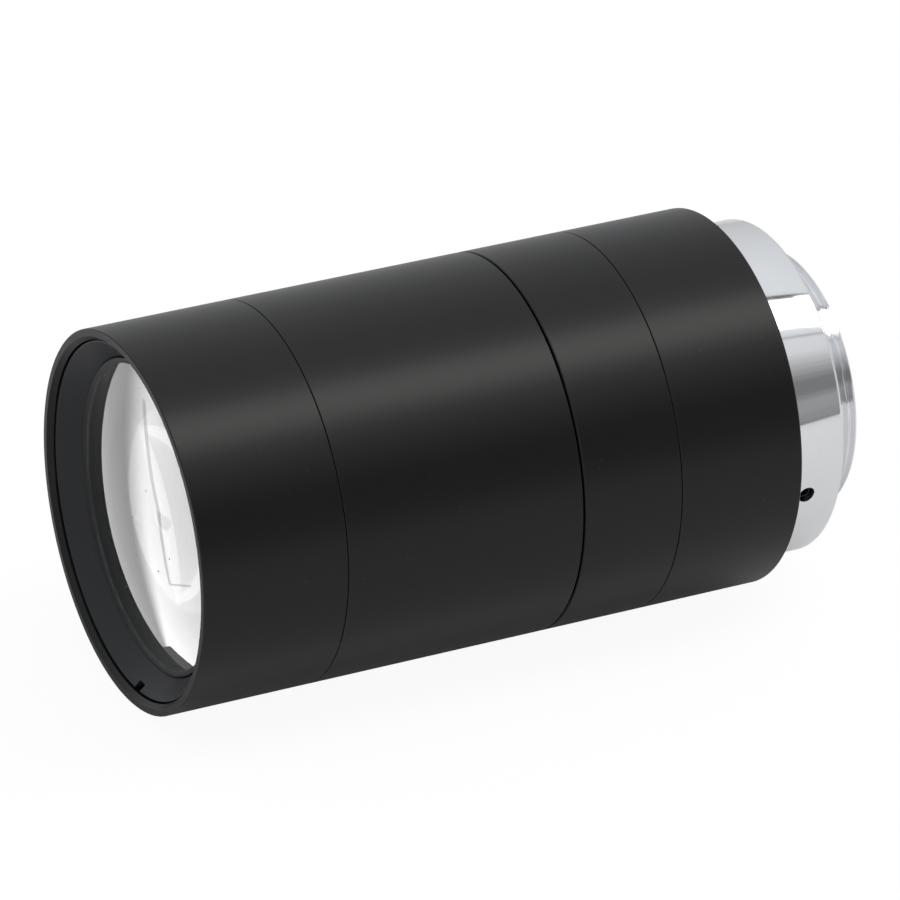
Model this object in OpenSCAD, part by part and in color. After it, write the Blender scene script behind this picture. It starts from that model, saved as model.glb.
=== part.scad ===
// Varifocal lens for small board and box cameras, with a threaded CS mount.
// Three plain black rings set focus, zoom and iris. The optical axis is X: the front glass
// looks towards -X, and the origin is the centre of the mount's seat face.
// All pieces are drawn along their own turning axis, from the front rim (0) to the rear,
// and lens_axis() lays that axis along X.

/* [Barrel] */
// Outside diameter of the black barrel
barrel_d = 36.6; // [35.6:0.1:40]
// Length of the focus ring, from the front rim to the first seam
focus_ring_len = 14.5; // [13.8:0.1:17]
// Length of the fixed body's visible part
body_len = 24.2; // [23:0.1:30]
// Length of the zoom ring
zoom_ring_len = 10.2; // [9.6:0.1:14]
// Length of the iris ring
iris_ring_len = 12.8; // [12.2:0.1:18]
// Wall of the three turning rings
ring_wall = 1.2; // [1.1:0.05:1.4]
// Wall of the guide sleeve under the focus ring
sleeve_wall = 1.0; // [0.8:0.05:1.2]
// Wall of the rear tube under the zoom and iris rings
tube_wall = 0.8; // [0.7:0.05:1]
// Gap that shows at the focus and iris seams
fine_seam = 0.09; // [0.08:0.01:0.2]
// Gap that shows at the seam in front of the zoom ring
zoom_seam = 0.2; // [0.1:0.01:0.4]
// Chamfer on the rings' outer edges
ring_chamfer = 0.1; // [0.05:0.01:0.3]
// Chamfer on the edges at the focus and iris seams
seam_chamfer = 0.04; // [0.03:0.01:0.15]
// Width of the flat front rim
rim_width = 0.7; // [0.4:0.05:0.9]
// Depth of the bevel inside the front rim
rim_bevel = 0.5; // [0.3:0.05:0.7]

/* [Mount] */
// Diameter of the plated flange
flange_d = 32.4; // [31.6:0.1:33]
// Length of the plated flange, up to the seat face
flange_len = 5.6; // [5.2:0.1:8]
// Major diameter of the mount's thread, 1 inch
thread_d = 25.4; // [25:0.1:26]
// Length of the threaded nose
thread_len = 3.4; // [3:0.1:4.5]
// Bore through the threaded nose
mount_bore_d = 21.8; // [21.4:0.1:22.6]
// Chamfer at the rear edge of the flange
flange_chamfer = 0.35; // [0.2:0.05:0.6]
// Chamfer at the end of the thread
thread_chamfer = 0.3; // [0.15:0.05:0.5]
// Diameter of the mount's set screws
set_screw_d = 1.8; // [1.6:0.1:2]
// Length of a set screw
set_screw_len = 2.1; // [1.8:0.1:2.3]
// Direction of the first set screw about the axis, from +Y towards +Z
set_screw_angle = -165.4; // [-180:0.1:180]

/* [Focus] */
// Turn of the focus ring, in degrees
focus_turn = 100; // [80:1:105]
// Travel of the front cell
focus_travel = 2.0; // [1:0.1:2.4]
// Wall of the front cell
front_cell_wall = 1.2; // [1:0.05:1.4]
// Distance from the front rim back to the trim ring
trim_set_back = 0.7; // [0.5:0.05:1]
// Depth of the trim ring's cone
trim_depth = 2.15; // [1.8:0.05:2.4]
// Diameter of the focus followers
focus_pin_d = 1.8; // [1.4:0.1:2]
// Depth of the grooves in the focus ring
groove_depth = 0.65; // [0.4:0.05:0.7]

/* [Zoom] */
// Turn of the zoom ring, in degrees
zoom_turn = 90; // [70:1:100]
// Part of the room between the two sliding cells that the variator uses
variator_travel_share = 0.68; // [0.6:0.01:0.72]
// Wall of the cam sleeve
cam_wall = 1.0; // [0.8:0.05:1.2]
// Wall of the guide barrel
guide_wall = 1.0; // [0.8:0.05:1.2]
// Diameter of the zoom followers
zoom_pin_d = 2.0; // [1.6:0.1:2.2]
// Room between the cam sleeve and the rear tube
cam_room = 1.7; // [1.6:0.05:2]

/* [Iris] */
// Turn of the iris ring, in degrees
iris_turn = 50; // [40:1:52]
// Turn of each blade on its pivot, in degrees
blade_turn = 32; // [20:1:33]
// Diameter of the open aperture
aperture_d = 13.6; // [12:0.1:13.8]
// Diameter of the circle on which the blades pivot
blade_circle_d = 22.4; // [22:0.1:22.8]
// Distance from a blade's pivot to its stud
stud_arm = 2.2; // [2:0.05:2.4]
// Width of a blade
blade_width = 3.1; // [2.6:0.05:3.2]
// Thickness of a blade
blade_t = 0.12; // [0.08:0.01:0.13]

/* [Glass] */
// Thickness of the first lens in the middle
front_lens_t = 1.6; // [1.4:0.1:2]
// Radius of the first lens's front face
front_lens_front_r = 38; // [36:1:60]
// Radius shared by the cemented faces of the first and second lens
front_cement_r = 24; // [23:0.5:30]
// Thickness of the second lens in the middle
second_lens_t = 7.2; // [7:0.1:7.6]
// Radius of the second lens's rear face
second_lens_rear_r = 70; // [66:1:100]
// Diameter of the third lens
third_lens_d = 27.0; // [25:0.1:27.4]
// Thickness of the third lens in the middle
third_lens_t = 3.4; // [3.2:0.1:3.8]
// Diameter of the variator's first lens
variator_front_d = 18.0; // [17:0.1:18.6]
// Diameter of the variator's cemented pair
variator_pair_d = 15.2; // [14.4:0.1:15.6]
// Diameter of the compensator's lenses
compensator_lens_d = 16.0; // [15:0.1:16.4]
// Diameter of the relay group's lenses
relay_lens_d = 14.0; // [13.4:0.1:14.2]

/* [Lock screws] */
// Diameter of a thumb screw's head
thumb_d = 4.4; // [3.6:0.1:5]
// Height of a thumb screw's head
thumb_h = 3.6; // [2.5:0.1:5]
// Diameter of a thumb screw's shank
thumb_shank_d = 1.9; // [1.6:0.1:2]
// Direction of the thumb screws about the axis, from +Y towards +Z
thumb_angle = -28.6; // [-90:0.1:20]

/* [Fits] */
// Radial clearance of a turning or sliding fit
running_fit = 0.06; // [0.03:0.01:0.1]
// Radial clearance of a piece that is fixed in its seat
seat_fit = 0.03; // [0.01:0.01:0.05]
// Sideways clearance of a follower in its slot
slot_fit = 0.06; // [0.04:0.01:0.1]
// Gap along the axis between a turning piece and its stop
end_play = 0.08; // [0.05:0.01:0.1]

/* [Hidden] */
$fn = 96;

// Colours
black_anodised = [0.09, 0.09, 0.10];
dark_anodised = [0.16, 0.17, 0.20];
plated = [0.80, 0.81, 0.83];
steel = [0.62, 0.63, 0.65];
brass = [0.75, 0.62, 0.32];
blade_black = [0.05, 0.05, 0.06];
glass = [0.78, 0.86, 0.92, 0.45];

// Overrun of every cut past the face that it leaves
overrun = 0.5;
// Straight pieces of one helical slot
slot_steps = 9;
// Straight pieces of one iris slot
iris_slot_steps = 10;
// Facets of the small round pieces
pin_facets = 48;
// Extra radius of the round ends of a curved slot, and of a blade's leaf
slot_end_relief = 0.03;

// Places along the axis
focus_seam_s = focus_ring_len;
zoom_seam_s = focus_seam_s + body_len;
iris_seam_s = zoom_seam_s + zoom_ring_len;
barrel_end_s = iris_seam_s + iris_ring_len;
seat_s = barrel_end_s + flange_len;
nose_end_s = seat_s + thread_len;

// Radii, from the outside in
barrel_r = barrel_d / 2;
ring_in = barrel_r - ring_wall;
sleeve_r = ring_in - running_fit;
sleeve_in = sleeve_r - sleeve_wall;
tube_in = sleeve_r - tube_wall;
housing_r = tube_in - seat_fit;
collar_r = tube_in - running_fit;
cam_r = tube_in - cam_room;
cam_in = cam_r - cam_wall;
guide_r = cam_in - running_fit;
guide_in = guide_r - guide_wall;
zoom_cell_r = guide_in - running_fit;
front_cell_r = sleeve_in - running_fit;
front_bore = front_cell_r - front_cell_wall;
front_lens_r = front_bore - seat_fit;
flange_r = flange_d / 2;
thread_r = thread_d / 2;
mount_bore = mount_bore_d / 2;

// Chords, faces and lips of the glass
edge_land = 0.5;
glass_gap = 0.02;
air_gap = 0.3;
retainer_t = 0.9;

// Front group, from the trim ring back
trim_s = trim_set_back;
trim_flange_t = 1.2;
trim_cone_r = front_bore + 0.26 * front_cell_wall;
trim_edge = 0.1;
trim_recess = 0.1;
trim_recess_s = trim_s + 2 * trim_flange_t;
trim_end_s = trim_s + trim_depth;
trim_rear_t = 0.05;
trim_rear_s = trim_end_s + trim_rear_t;
notch_angle = -94;
notch_w = 1.2;
notch_depth = 0.9;
notch_reach = 0.6;
glass_set_back = 0.74;
front_lens_s = trim_s + glass_set_back;
second_lens_s = front_lens_s + front_lens_t + glass_gap;
second_rear_s = second_lens_s + second_lens_t;
front_edge_s = front_lens_s + sag(front_lens_front_r, front_lens_r);
third_lens_front_r = 30;
third_lens_rear_r = 80;
third_lens_s = second_rear_s + air_gap;
third_rear_s = third_lens_s + third_lens_t;
third_lens_r = third_lens_d / 2;
third_edge_s = third_rear_s + sag(third_lens_rear_r, third_lens_r);
third_step_s = third_lens_s + sag(third_lens_front_r, third_lens_r) - 0.25 * third_lens_t;
third_bore = third_lens_r + seat_fit;
cell_lip = 0.6;
cell_lip_t = 1.2;
front_cell_end_s = third_edge_s + glass_gap + cell_lip_t;
sleeve_front_gap = 0.4;
sleeve_front_s = trim_s + trim_flange_t + sleeve_front_gap;
retainer_lip = 0.5;
front_glass_r = front_lens_r - retainer_lip;
spacer_edge = 0.9;
spacer_front_r = front_lens_r - spacer_edge;
spacer_rear_r = third_lens_r - cell_lip;

// Focus followers and the snap ring behind them
focus_pin_r = focus_pin_d / 2;
focus_slot_w = focus_pin_r + slot_fit;
focus_pin_back = 3.1;
focus_pin_s = focus_seam_s - focus_pin_back;
focus_angle = 31.4;
focus_pin_reach = ring_in + 0.8 * groove_depth;
snap_t = 0.5;
snap_depth = 0.4;
snap_back = 1.7;
snap_s = focus_seam_s - snap_back;
snap_reach = 0.35;
snap_opening = 50;

// Web and guide barrel
web_gap = 0.5;
web_t = 1.5;
web_s = front_cell_end_s + web_gap;
guide_s = web_s + web_t;
web_bore = guide_in + 0.5 * guide_wall;
guide_flange_t = 1.2;
iris_s = iris_seam_s + end_play;
guide_screw_d = 1.6;
guide_screw_head_d = 2.4;
guide_screw_head_t = 0.6;
guide_screw_len = 2.4;
guide_screw_circle_r = (guide_r + tube_in) / 2;
cam_s = guide_s + guide_flange_t + guide_screw_head_t + 2 * end_play;
cam_end_s = iris_s - end_play;

// Zoom drive
zoom_pin_r = zoom_pin_d / 2;
zoom_slot_w = zoom_pin_r + slot_fit;
circlip_t = 0.5;
circlip_depth = 0.4;
circlip_reach = 0.5;
zoom_ring_end_s = iris_seam_s - fine_seam / 2;
circlip_s = zoom_ring_end_s - circlip_t;
drive_back = 2.0;
drive_s = iris_seam_s - drive_back;
drive_angle = thumb_angle + 90;
collar_t = 2.9;
collar_s = drive_s - collar_t / 2;
drive_reach = ring_in + 0.5 * ring_wall;
key_depth = 0.6 * ring_wall;

// Variator, from its front face back
group_gap = 0.4;
variator_s = guide_s + group_gap;
variator_r1 = 80;
variator_r2 = 18;
variator_r3 = 22;
variator_r4 = 13;
variator_r5 = 40;
variator_t1 = 0.9;
variator_t2 = 0.8;
variator_t3 = 2.4;
variator_front_r = variator_front_d / 2;
variator_pair_r = variator_pair_d / 2;
variator_1_s = variator_s + edge_land;
variator_1_rear_s = variator_1_s + variator_t1;
variator_step_s = variator_1_rear_s + sag(variator_r2, variator_front_r) + glass_gap;
variator_lip_t = 0.5;
variator_2_s = variator_step_s + variator_lip_t + glass_gap + sag(variator_r3, variator_pair_r);
variator_3_s = variator_2_s + variator_t2 + glass_gap;
variator_rear_s = variator_3_s + variator_t3;
variator_edge_s = variator_rear_s + sag(variator_r5, variator_pair_r);
variator_end_s = variator_edge_s + glass_gap + retainer_t;
variator_pin_s = (variator_s + variator_end_s) / 2;
zoom_angle = 30;

// Compensator, from its rear face forward
compensator_back = 2.6;
compensator_r1 = 30;
compensator_r2 = 24;
compensator_r3 = 70;
compensator_t1 = 3.2;
compensator_t2 = 0.9;
compensator_lens_r = compensator_lens_d / 2;
compensator_end_s = iris_s - compensator_back;
compensator_rear_s = compensator_end_s - retainer_t - glass_gap
    + sag(compensator_r3, compensator_lens_r - retainer_lip);
compensator_2_s = compensator_rear_s - compensator_t2;
compensator_1_s = compensator_2_s - glass_gap - compensator_t1;
compensator_s = compensator_1_s - edge_land;
compensator_lip_s = compensator_1_s + sag(compensator_r1, compensator_lens_r - edge_land)
    - glass_gap;
compensator_pin_s = (compensator_s + compensator_end_s) / 2;
zoom_room = compensator_s - variator_end_s - group_gap;
variator_travel = zoom_room * variator_travel_share;
compensator_travel = zoom_room - variator_travel;
cell_relief = 0.3;
cell_land = 1.6;
pin_seat = 1.6;

// Iris, from the cover's front face back
blade_count = 6;
blade_step = 360 / blade_count;
blade_angle = 12;
blade_pitch = blade_t + 0.25 * blade_t;
aperture_r = aperture_d / 2;
blade_circle_r = blade_circle_d / 2;
stud_r = 0.4;
pivot_r = 0.5;
blade_set_back = 0.3;
blade_inner_r = aperture_r + blade_set_back;
blade_outer_r = blade_inner_r + blade_width;
blade_sweep = 112;
blade_arm_w = 1.8;
blade_ratio = blade_turn / iris_turn;
cover_t = 0.6;
housing_wall = 1.1;
housing_in = housing_r - housing_wall;
actuator_r = housing_in - running_fit;
actuator_wall = 0.85;
actuator_plate_t = 0.75;
actuator_collar_t = 1.85;
actuator_s = iris_s + cover_t + end_play;
actuator_plate_s = actuator_s + actuator_collar_t;
actuator_end_s = actuator_plate_s + actuator_plate_t;
stud_circle_r = blade_circle_r + stud_arm;
actuator_rim = 1.2;
actuator_in = stud_circle_r - actuator_rim;
hub_r = actuator_in - running_fit;
hub_wall = 0.7;
hub_lip_t = 0.6;
blade_s = actuator_end_s + end_play;
blade_end_s = blade_s + blade_count * blade_pitch;
iris_floor_t = 1.0;
iris_end_s = blade_end_s + iris_floor_t;
iris_pin_d = 1.4;
iris_pin_r = iris_pin_d / 2;
iris_slot_w = iris_pin_r + slot_fit;
iris_pin_s = actuator_s + actuator_collar_t / 2;
iris_drive_angle = thumb_angle + 180;
iris_pin_seat = 0.8;
cover_lip = 0.6;
cover_lip_r = aperture_r + cover_lip;
hub_end_s = blade_s - end_play / 2;
pivot_hole_r = pivot_r + slot_fit / 2;
stud_front_s = actuator_plate_s + end_play;
blade_eye_r = 1.1;

// Rear holder and the relay group, from the nose forward
relay_s = iris_end_s + end_play;
relay_lens_r = relay_lens_d / 2;
relay_bore = relay_lens_r + seat_fit;
relay_lip_r = relay_lens_r - edge_land;
relay_tube_wall = 1.6;
holder_web_t = 2.3;
holder_lip_t = 0.8;
holder_lip_reach = 0.5;
holder_skirt = 1.1;
tube_end_s = barrel_end_s - holder_lip_t;
flange_wall = 2.7;
boss_r = flange_r - flange_wall;
boss_back = 1.7;
boss_end_s = seat_s - boss_back;
nose_room = 0.5;
nose_r = mount_bore - nose_room;
nose_back = 0.1;
nose_cham = 1.2;
holder_end_s = seat_s - nose_back;
relay_r1 = 20;
relay_r2 = 30;
relay_r3 = 20;
relay_r4 = 16;
relay_r5 = 60;
relay_r6 = 24;
relay_r7 = 60;
relay_t1 = 3.0;
relay_t2 = 4.0;
relay_t3 = 0.9;
rear_lens_t = 2.2;
relay_lip_t = 0.6;
relay_1_s = relay_s + relay_lip_t;
relay_1_rear_s = relay_1_s + relay_t1;
relay_seat_s = relay_1_s + sag(relay_r1, relay_lip_r) - glass_gap;
rear_lens_back = 0.7;
rear_lens_rear_s = holder_end_s - rear_lens_back;
rear_lens_s = rear_lens_rear_s - rear_lens_t;
rear_air = 0.6;
relay_3_rear_s = rear_lens_s - rear_air;
relay_3_s = relay_3_rear_s - relay_t3;
relay_2_s = relay_3_s - glass_gap - relay_t2;

// Mount ring
mount_cavity = boss_r + seat_fit;
boss_end_gap = 0.4;
mount_cavity_end_s = boss_end_s + boss_end_gap;
set_screw_r = set_screw_d / 2;
set_screw_hole_r = set_screw_r + slot_fit / 2;
set_screw_back = 1.9;
set_screw_s = barrel_end_s + set_screw_back;
set_screw_in = boss_r + 2 * seat_fit;
socket_share = 0.52;
socket_depth = 0.9;
thirds = [0, 120, 240];
halves = [0, 180];

// Thumb screws
thumb_r = thumb_d / 2;
thumb_shank_r = thumb_shank_d / 2;
thumb_hole_r = thumb_shank_r + slot_fit;
thumb_gap = 0.15;
thumb_seat = barrel_r + thumb_gap;
thumb_tip = sleeve_r + end_play / 2;
thumb_chamfer = 0.3;
thumb_place_shares = [0.38, 0.4, 0.6];
focus_thumb_s = focus_ring_len * thumb_place_shares[0];
zoom_thumb_s = zoom_seam_s + zoom_ring_len * thumb_place_shares[1];
iris_thumb_s = iris_seam_s + iris_ring_len * thumb_place_shares[2];

// Height of a sphere's cap of radius r at the distance h from its axis
function sag(r, h) = r - sqrt(r * r - h * h);

// Point of a slot's wall at radius r and angle a, moved sideways by o
function slot_point(r, a, o, s) = [r * cos(a) - o * sin(a), r * sin(a) + o * cos(a), s];

// Place of a blade's stud, seen from the actuator after a turn of t degrees
function stud_point(t) = let (
    x = blade_circle_r + stud_arm * cos(blade_ratio * t),
    y = stud_arm * sin(blade_ratio * t)
) [x * cos(t) + y * sin(t), y * cos(t) - x * sin(t)];

// Unit vector across the stud's path
function stud_side(t) = let (d = stud_point(t + 1) - stud_point(t - 1)) [-d.y, d.x] / norm(d);

// Lays the turning axis along X, with the seat face at X = 0
module lens_axis() {
    translate([-seat_s, 0, 0]) rotate([90, 0, 90]) children();
}

// Solid turned from an outline of [radius, place] points
module turned(outline) {
    rotate_extrude() polygon(outline);
}

// Plain tube
module tube(r_out, r_in, from, to) {
    rotate_extrude() translate([r_in, from]) square([r_out - r_in, to - from]);
}

// Round bar that stands out from the axis at angle a and place s
module spoke(r, r_from, r_to, a, s) {
    translate([0, 0, s]) rotate([0, 0, a]) rotate([0, 90, 0])
        translate([0, 0, r_from]) cylinder(r = r, h = r_to - r_from, $fn = pin_facets);
}

// Cut along the axis with round ends, for a pin that slides
module straight_slot(w, r_from, r_to, a, s_from, s_to) {
    spoke(w, r_from, r_to, a, s_from);
    spoke(w, r_from, r_to, a, s_to);
    rotate([0, 0, a]) translate([r_from, -w, s_from]) cube([r_to - r_from, 2 * w, s_to - s_from]);
}

// Cut round the axis with round ends, for a pin that turns
module round_slot(w, r_from, r_to, a, turn, s) {
    spoke(w + slot_end_relief, r_from, r_to, a, s);
    spoke(w + slot_end_relief, r_from, r_to, a + turn, s);
    rotate([0, 0, a]) rotate_extrude(angle = turn)
        translate([r_from, s - w]) square([r_to - r_from, 2 * w]);
}

// Cut along a helix with round ends, from angle a_from up to a_to
module helical_slot(w, r_from, r_to, a_from, a_to, s_from, s_to) {
    arc = (r_from + r_to) / 2 * (a_to - a_from) * PI / 180;
    path = norm([arc, s_to - s_from]);
    side = -w * (s_to - s_from) / path;
    rise = w * arc / path;
    corners = [[r_from, 1], [r_to, 1], [r_to, -1], [r_from, -1]];
    points = [
        for (i = [0 : slot_steps])
            let (
                a = a_from + (a_to - a_from) * i / slot_steps,
                s = s_from + (s_to - s_from) * i / slot_steps
            )
            for (c = corners) slot_point(c[0], a, c[1] * side, s + c[1] * rise)
    ];
    last = 4 * slot_steps;
    walls = [
        for (i = [0 : slot_steps - 1], k = [0 : 3])
            let (p = 4 * i + k, q = 4 * i + (k + 1) % 4)
            each [[q, p, p + 4], [q, p + 4, q + 4]]
    ];
    ends = [[0, 1, 2], [0, 2, 3], [last + 2, last + 1, last], [last + 3, last + 2, last]];
    polyhedron(points = points, faces = concat(walls, ends), convexity = 6);
    spoke(w + slot_end_relief, r_from, r_to, a_from, s_from);
    spoke(w + slot_end_relief, r_from, r_to, a_to, s_to);
}

// Lens blank of radius h from place s, t thick in the middle. A face radius is positive
// where the centre of its curve lies behind the face.
module lens(front_r, rear_r, h, s, t) {
    front_c = s + front_r;
    rear_s = s + t;
    rear_c = rear_s + rear_r;
    front_edge = front_r > 0 ? s : s - sag(-front_r, h);
    rear_edge = rear_r > 0 ? rear_s + sag(rear_r, h) : rear_s;
    rotate_extrude() difference() {
        intersection() {
            translate([0, front_edge]) square([h, rear_edge - front_edge]);
            if (front_r > 0) translate([0, front_c]) circle(r = front_r, $fn = 4 * $fn);
            if (rear_r < 0) translate([0, rear_c]) circle(r = -rear_r, $fn = 4 * $fn);
        }
        if (front_r < 0) translate([0, front_c]) circle(r = -front_r, $fn = 4 * $fn);
        if (rear_r > 0) translate([0, rear_c]) circle(r = rear_r, $fn = 4 * $fn);
    }
}

// Turning ring of the barrel, with its own chamfer at each outer edge
module outer_ring(from, to, front_chamfer, rear_chamfer) {
    turned([
        [ring_in, from], [barrel_r - front_chamfer, from], [barrel_r, from + front_chamfer],
        [barrel_r, to - rear_chamfer], [barrel_r - rear_chamfer, to], [ring_in, to]
    ]);
}

// Thumb screw with its tip just clear of the sleeve
module thumb_screw(s) {
    translate([0, 0, s]) rotate([0, 0, thumb_angle]) rotate([0, 90, 0]) turned([
        [0, thumb_tip], [thumb_shank_r, thumb_tip], [thumb_shank_r, thumb_seat],
        [thumb_r - thumb_chamfer, thumb_seat], [thumb_r, thumb_seat + thumb_chamfer],
        [thumb_r, thumb_seat + thumb_h - thumb_chamfer],
        [thumb_r - thumb_chamfer, thumb_seat + thumb_h], [0, thumb_seat + thumb_h]
    ]);
}

// Three follower pins, seated in a sliding cell
module followers(r, r_from, r_to, a, s) {
    for (turn = thirds) spoke(r, r_from, r_to, a + turn, s);
}

// Outline of a sliding cell's outside, with a land at each end
function cell_outside(from, to) = [
    [zoom_cell_r, to], [zoom_cell_r, to - cell_land], [zoom_cell_r - cell_relief, to - cell_land],
    [zoom_cell_r - cell_relief, from + cell_land], [zoom_cell_r, from + cell_land],
    [zoom_cell_r, from]
];

// Fixed body: guide sleeve, visible shell with its web, and rear tube
module body_barrel() color(black_anodised) lens_axis() difference() {
    turned([
        [sleeve_in, sleeve_front_s], [sleeve_r, sleeve_front_s],
        [sleeve_r, focus_seam_s + fine_seam / 2],
        [barrel_r - seam_chamfer, focus_seam_s + fine_seam / 2],
        [barrel_r, focus_seam_s + fine_seam / 2 + seam_chamfer],
        [barrel_r, zoom_seam_s - zoom_seam / 2 - ring_chamfer],
        [barrel_r - ring_chamfer, zoom_seam_s - zoom_seam / 2],
        [sleeve_r, zoom_seam_s - zoom_seam / 2], [sleeve_r, tube_end_s], [tube_in, tube_end_s],
        [tube_in, guide_s], [web_bore, guide_s], [web_bore, web_s], [sleeve_in, web_s]
    ]);
    tube(sleeve_r + overrun, sleeve_r - snap_depth, snap_s, snap_s + snap_t);
    tube(sleeve_r + overrun, sleeve_r - circlip_depth, circlip_s, circlip_s + circlip_t);
    for (a = thirds) {
        straight_slot(focus_slot_w, sleeve_in - overrun, sleeve_r + overrun, focus_angle + a,
            focus_pin_s - focus_travel, focus_pin_s);
        rotate([0, 0, a]) translate([guide_screw_circle_r, 0, guide_s - web_t - overrun])
            cylinder(d = guide_screw_d + 2 * seat_fit, h = web_t + 2 * overrun, $fn = pin_facets);
    }
    for (a = halves)
        round_slot(zoom_slot_w, tube_in - overrun, sleeve_r + overrun, drive_angle + a,
            zoom_turn, drive_s);
    round_slot(iris_slot_w, tube_in - overrun, sleeve_r + overrun, iris_drive_angle,
        iris_turn, iris_pin_s);
}

// Spring ring that lies half in the sleeve's groove and half in the focus ring's
module focus_snap_ring() color(steel) lens_axis() rotate([0, 0, thumb_angle])
    rotate_extrude(angle = 360 - snap_opening)
        translate([sleeve_r - snap_depth + seat_fit, snap_s + seat_fit])
            square([ring_in + snap_reach - sleeve_r + snap_depth - seat_fit, snap_t - 2 * seat_fit]);

// Fixed tube with three straight slots for each sliding cell
module guide_barrel() color(dark_anodised) lens_axis() difference() {
    turned([
        [guide_in, guide_s], [housing_r, guide_s], [housing_r, guide_s + guide_flange_t],
        [guide_r, guide_s + guide_flange_t], [guide_r, iris_s], [guide_in, iris_s]
    ]);
    for (a = thirds) {
        straight_slot(zoom_slot_w, guide_in - overrun, guide_r + overrun, zoom_angle + a,
            variator_pin_s, variator_pin_s + variator_travel);
        straight_slot(zoom_slot_w, guide_in - overrun, guide_r + overrun, zoom_angle + a,
            compensator_pin_s - compensator_travel, compensator_pin_s);
        rotate([0, 0, a]) translate([guide_screw_circle_r, 0, guide_s - overrun])
            cylinder(d = guide_screw_d + 2 * seat_fit, h = guide_flange_t + 2 * overrun,
                $fn = pin_facets);
    }
}

// Screws that hold the guide barrel's flange against the web
module guide_screws() color(steel) lens_axis() for (a = thirds) rotate([0, 0, a])
    translate([guide_screw_circle_r, 0, guide_s + guide_flange_t]) difference() {
        union() {
            cylinder(d = guide_screw_head_d, h = guide_screw_head_t, $fn = pin_facets);
            translate([0, 0, -guide_screw_len])
                cylinder(d = guide_screw_d, h = guide_screw_len, $fn = pin_facets);
        }
        translate([0, 0, 0.4 * guide_screw_head_t])
            cylinder(d = socket_share * guide_screw_d, h = guide_screw_head_t, $fn = 6);
    }

// Circlip behind the zoom ring
module zoom_circlip() color(steel) lens_axis() rotate([0, 0, thumb_angle])
    rotate_extrude(angle = 360 - snap_opening)
        translate([sleeve_r - circlip_depth + seat_fit, circlip_s + seat_fit])
            square([circlip_reach + circlip_depth - seat_fit, circlip_t - 2 * seat_fit]);

// Cup that carries the blades' pivots
module iris_housing() color(dark_anodised) lens_axis() difference() {
    turned([
        [aperture_r, blade_end_s], [housing_in, blade_end_s], [housing_in, iris_s + cover_t],
        [housing_r, iris_s + cover_t], [housing_r, iris_end_s], [aperture_r, iris_end_s]
    ]);
    round_slot(iris_slot_w, housing_in - overrun, housing_r + overrun, iris_drive_angle,
        iris_turn, iris_pin_s);
    for (j = [0 : blade_count - 1]) rotate([0, 0, blade_angle + j * blade_step])
        translate([blade_circle_r, 0, blade_end_s - overrun])
            cylinder(r = pivot_hole_r, h = iris_floor_t + 2 * overrun, $fn = pin_facets);
}

// Front plate of the iris, with the hub that centres the actuator
module iris_cover() color(dark_anodised) lens_axis() turned([
    [hub_r - hub_wall, iris_s], [housing_r, iris_s], [housing_r, iris_s + cover_t],
    [hub_r, iris_s + cover_t], [hub_r, hub_end_s], [cover_lip_r, hub_end_s],
    [cover_lip_r, hub_end_s - hub_lip_t], [hub_r - hub_wall, hub_end_s - hub_lip_t]
]);

// Rear holder: relay tube, web and skirt, lip behind the iris ring, boss for the mount ring
module rear_holder() color(black_anodised) lens_axis() turned([
    [relay_lip_r, relay_s], [relay_bore + relay_tube_wall, relay_s],
    [relay_bore + relay_tube_wall, barrel_end_s - holder_web_t],
    [housing_r - holder_skirt, barrel_end_s - holder_web_t],
    [housing_r - holder_skirt, relay_s], [housing_r, relay_s], [housing_r, tube_end_s],
    [sleeve_r + holder_lip_reach, tube_end_s], [sleeve_r + holder_lip_reach, barrel_end_s],
    [boss_r, barrel_end_s], [boss_r, boss_end_s], [nose_r, boss_end_s],
    [nose_r, holder_end_s - nose_cham], [nose_r - nose_cham, holder_end_s],
    [relay_bore, holder_end_s], [relay_bore, relay_seat_s], [relay_lip_r, relay_seat_s]
]);

// Relay group, which stays still behind the iris
module relay_lens_1() color(glass) lens_axis()
    lens(relay_r1, -relay_r2, relay_lens_r, relay_1_s, relay_t1);

module relay_lens_2() color(glass) lens_axis()
    lens(relay_r3, -relay_r4, relay_lens_r, relay_2_s, relay_t2);

module relay_lens_3() color(glass) lens_axis()
    lens(-relay_r4, relay_r5, relay_lens_r, relay_3_s, relay_t3);

module rear_lens() color(glass) lens_axis()
    lens(relay_r6, -relay_r7, relay_lens_r, rear_lens_s, rear_lens_t);

// Spacer between the first relay lens and the cemented pair
module relay_spacer() color(dark_anodised) lens_axis() tube(relay_lens_r, relay_lip_r,
    relay_1_rear_s - sag(relay_r2, relay_lip_r) + glass_gap,
    relay_2_s + sag(relay_r3, relay_lip_r) - glass_gap);

// Spacer between the cemented pair and the rear lens
module rear_spacer() color(dark_anodised) lens_axis() tube(relay_lens_r, relay_lip_r,
    relay_3_rear_s + sag(relay_r5, relay_lens_r) + glass_gap,
    rear_lens_s + sag(relay_r6, relay_lip_r) - glass_gap);

// Threaded ring behind the rear lens, with two spanner slots
module rear_retainer() color(black_anodised) lens_axis() difference() {
    tube(relay_lens_r, relay_lip_r,
        rear_lens_rear_s - sag(relay_r7, relay_lip_r) + glass_gap, holder_end_s);
    for (a = halves) rotate([0, 0, a + set_screw_angle])
        translate([0, -notch_w / 2, holder_end_s - retainer_lip])
            cube([relay_bore + overrun, notch_w, retainer_lip + overrun]);
}

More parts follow.
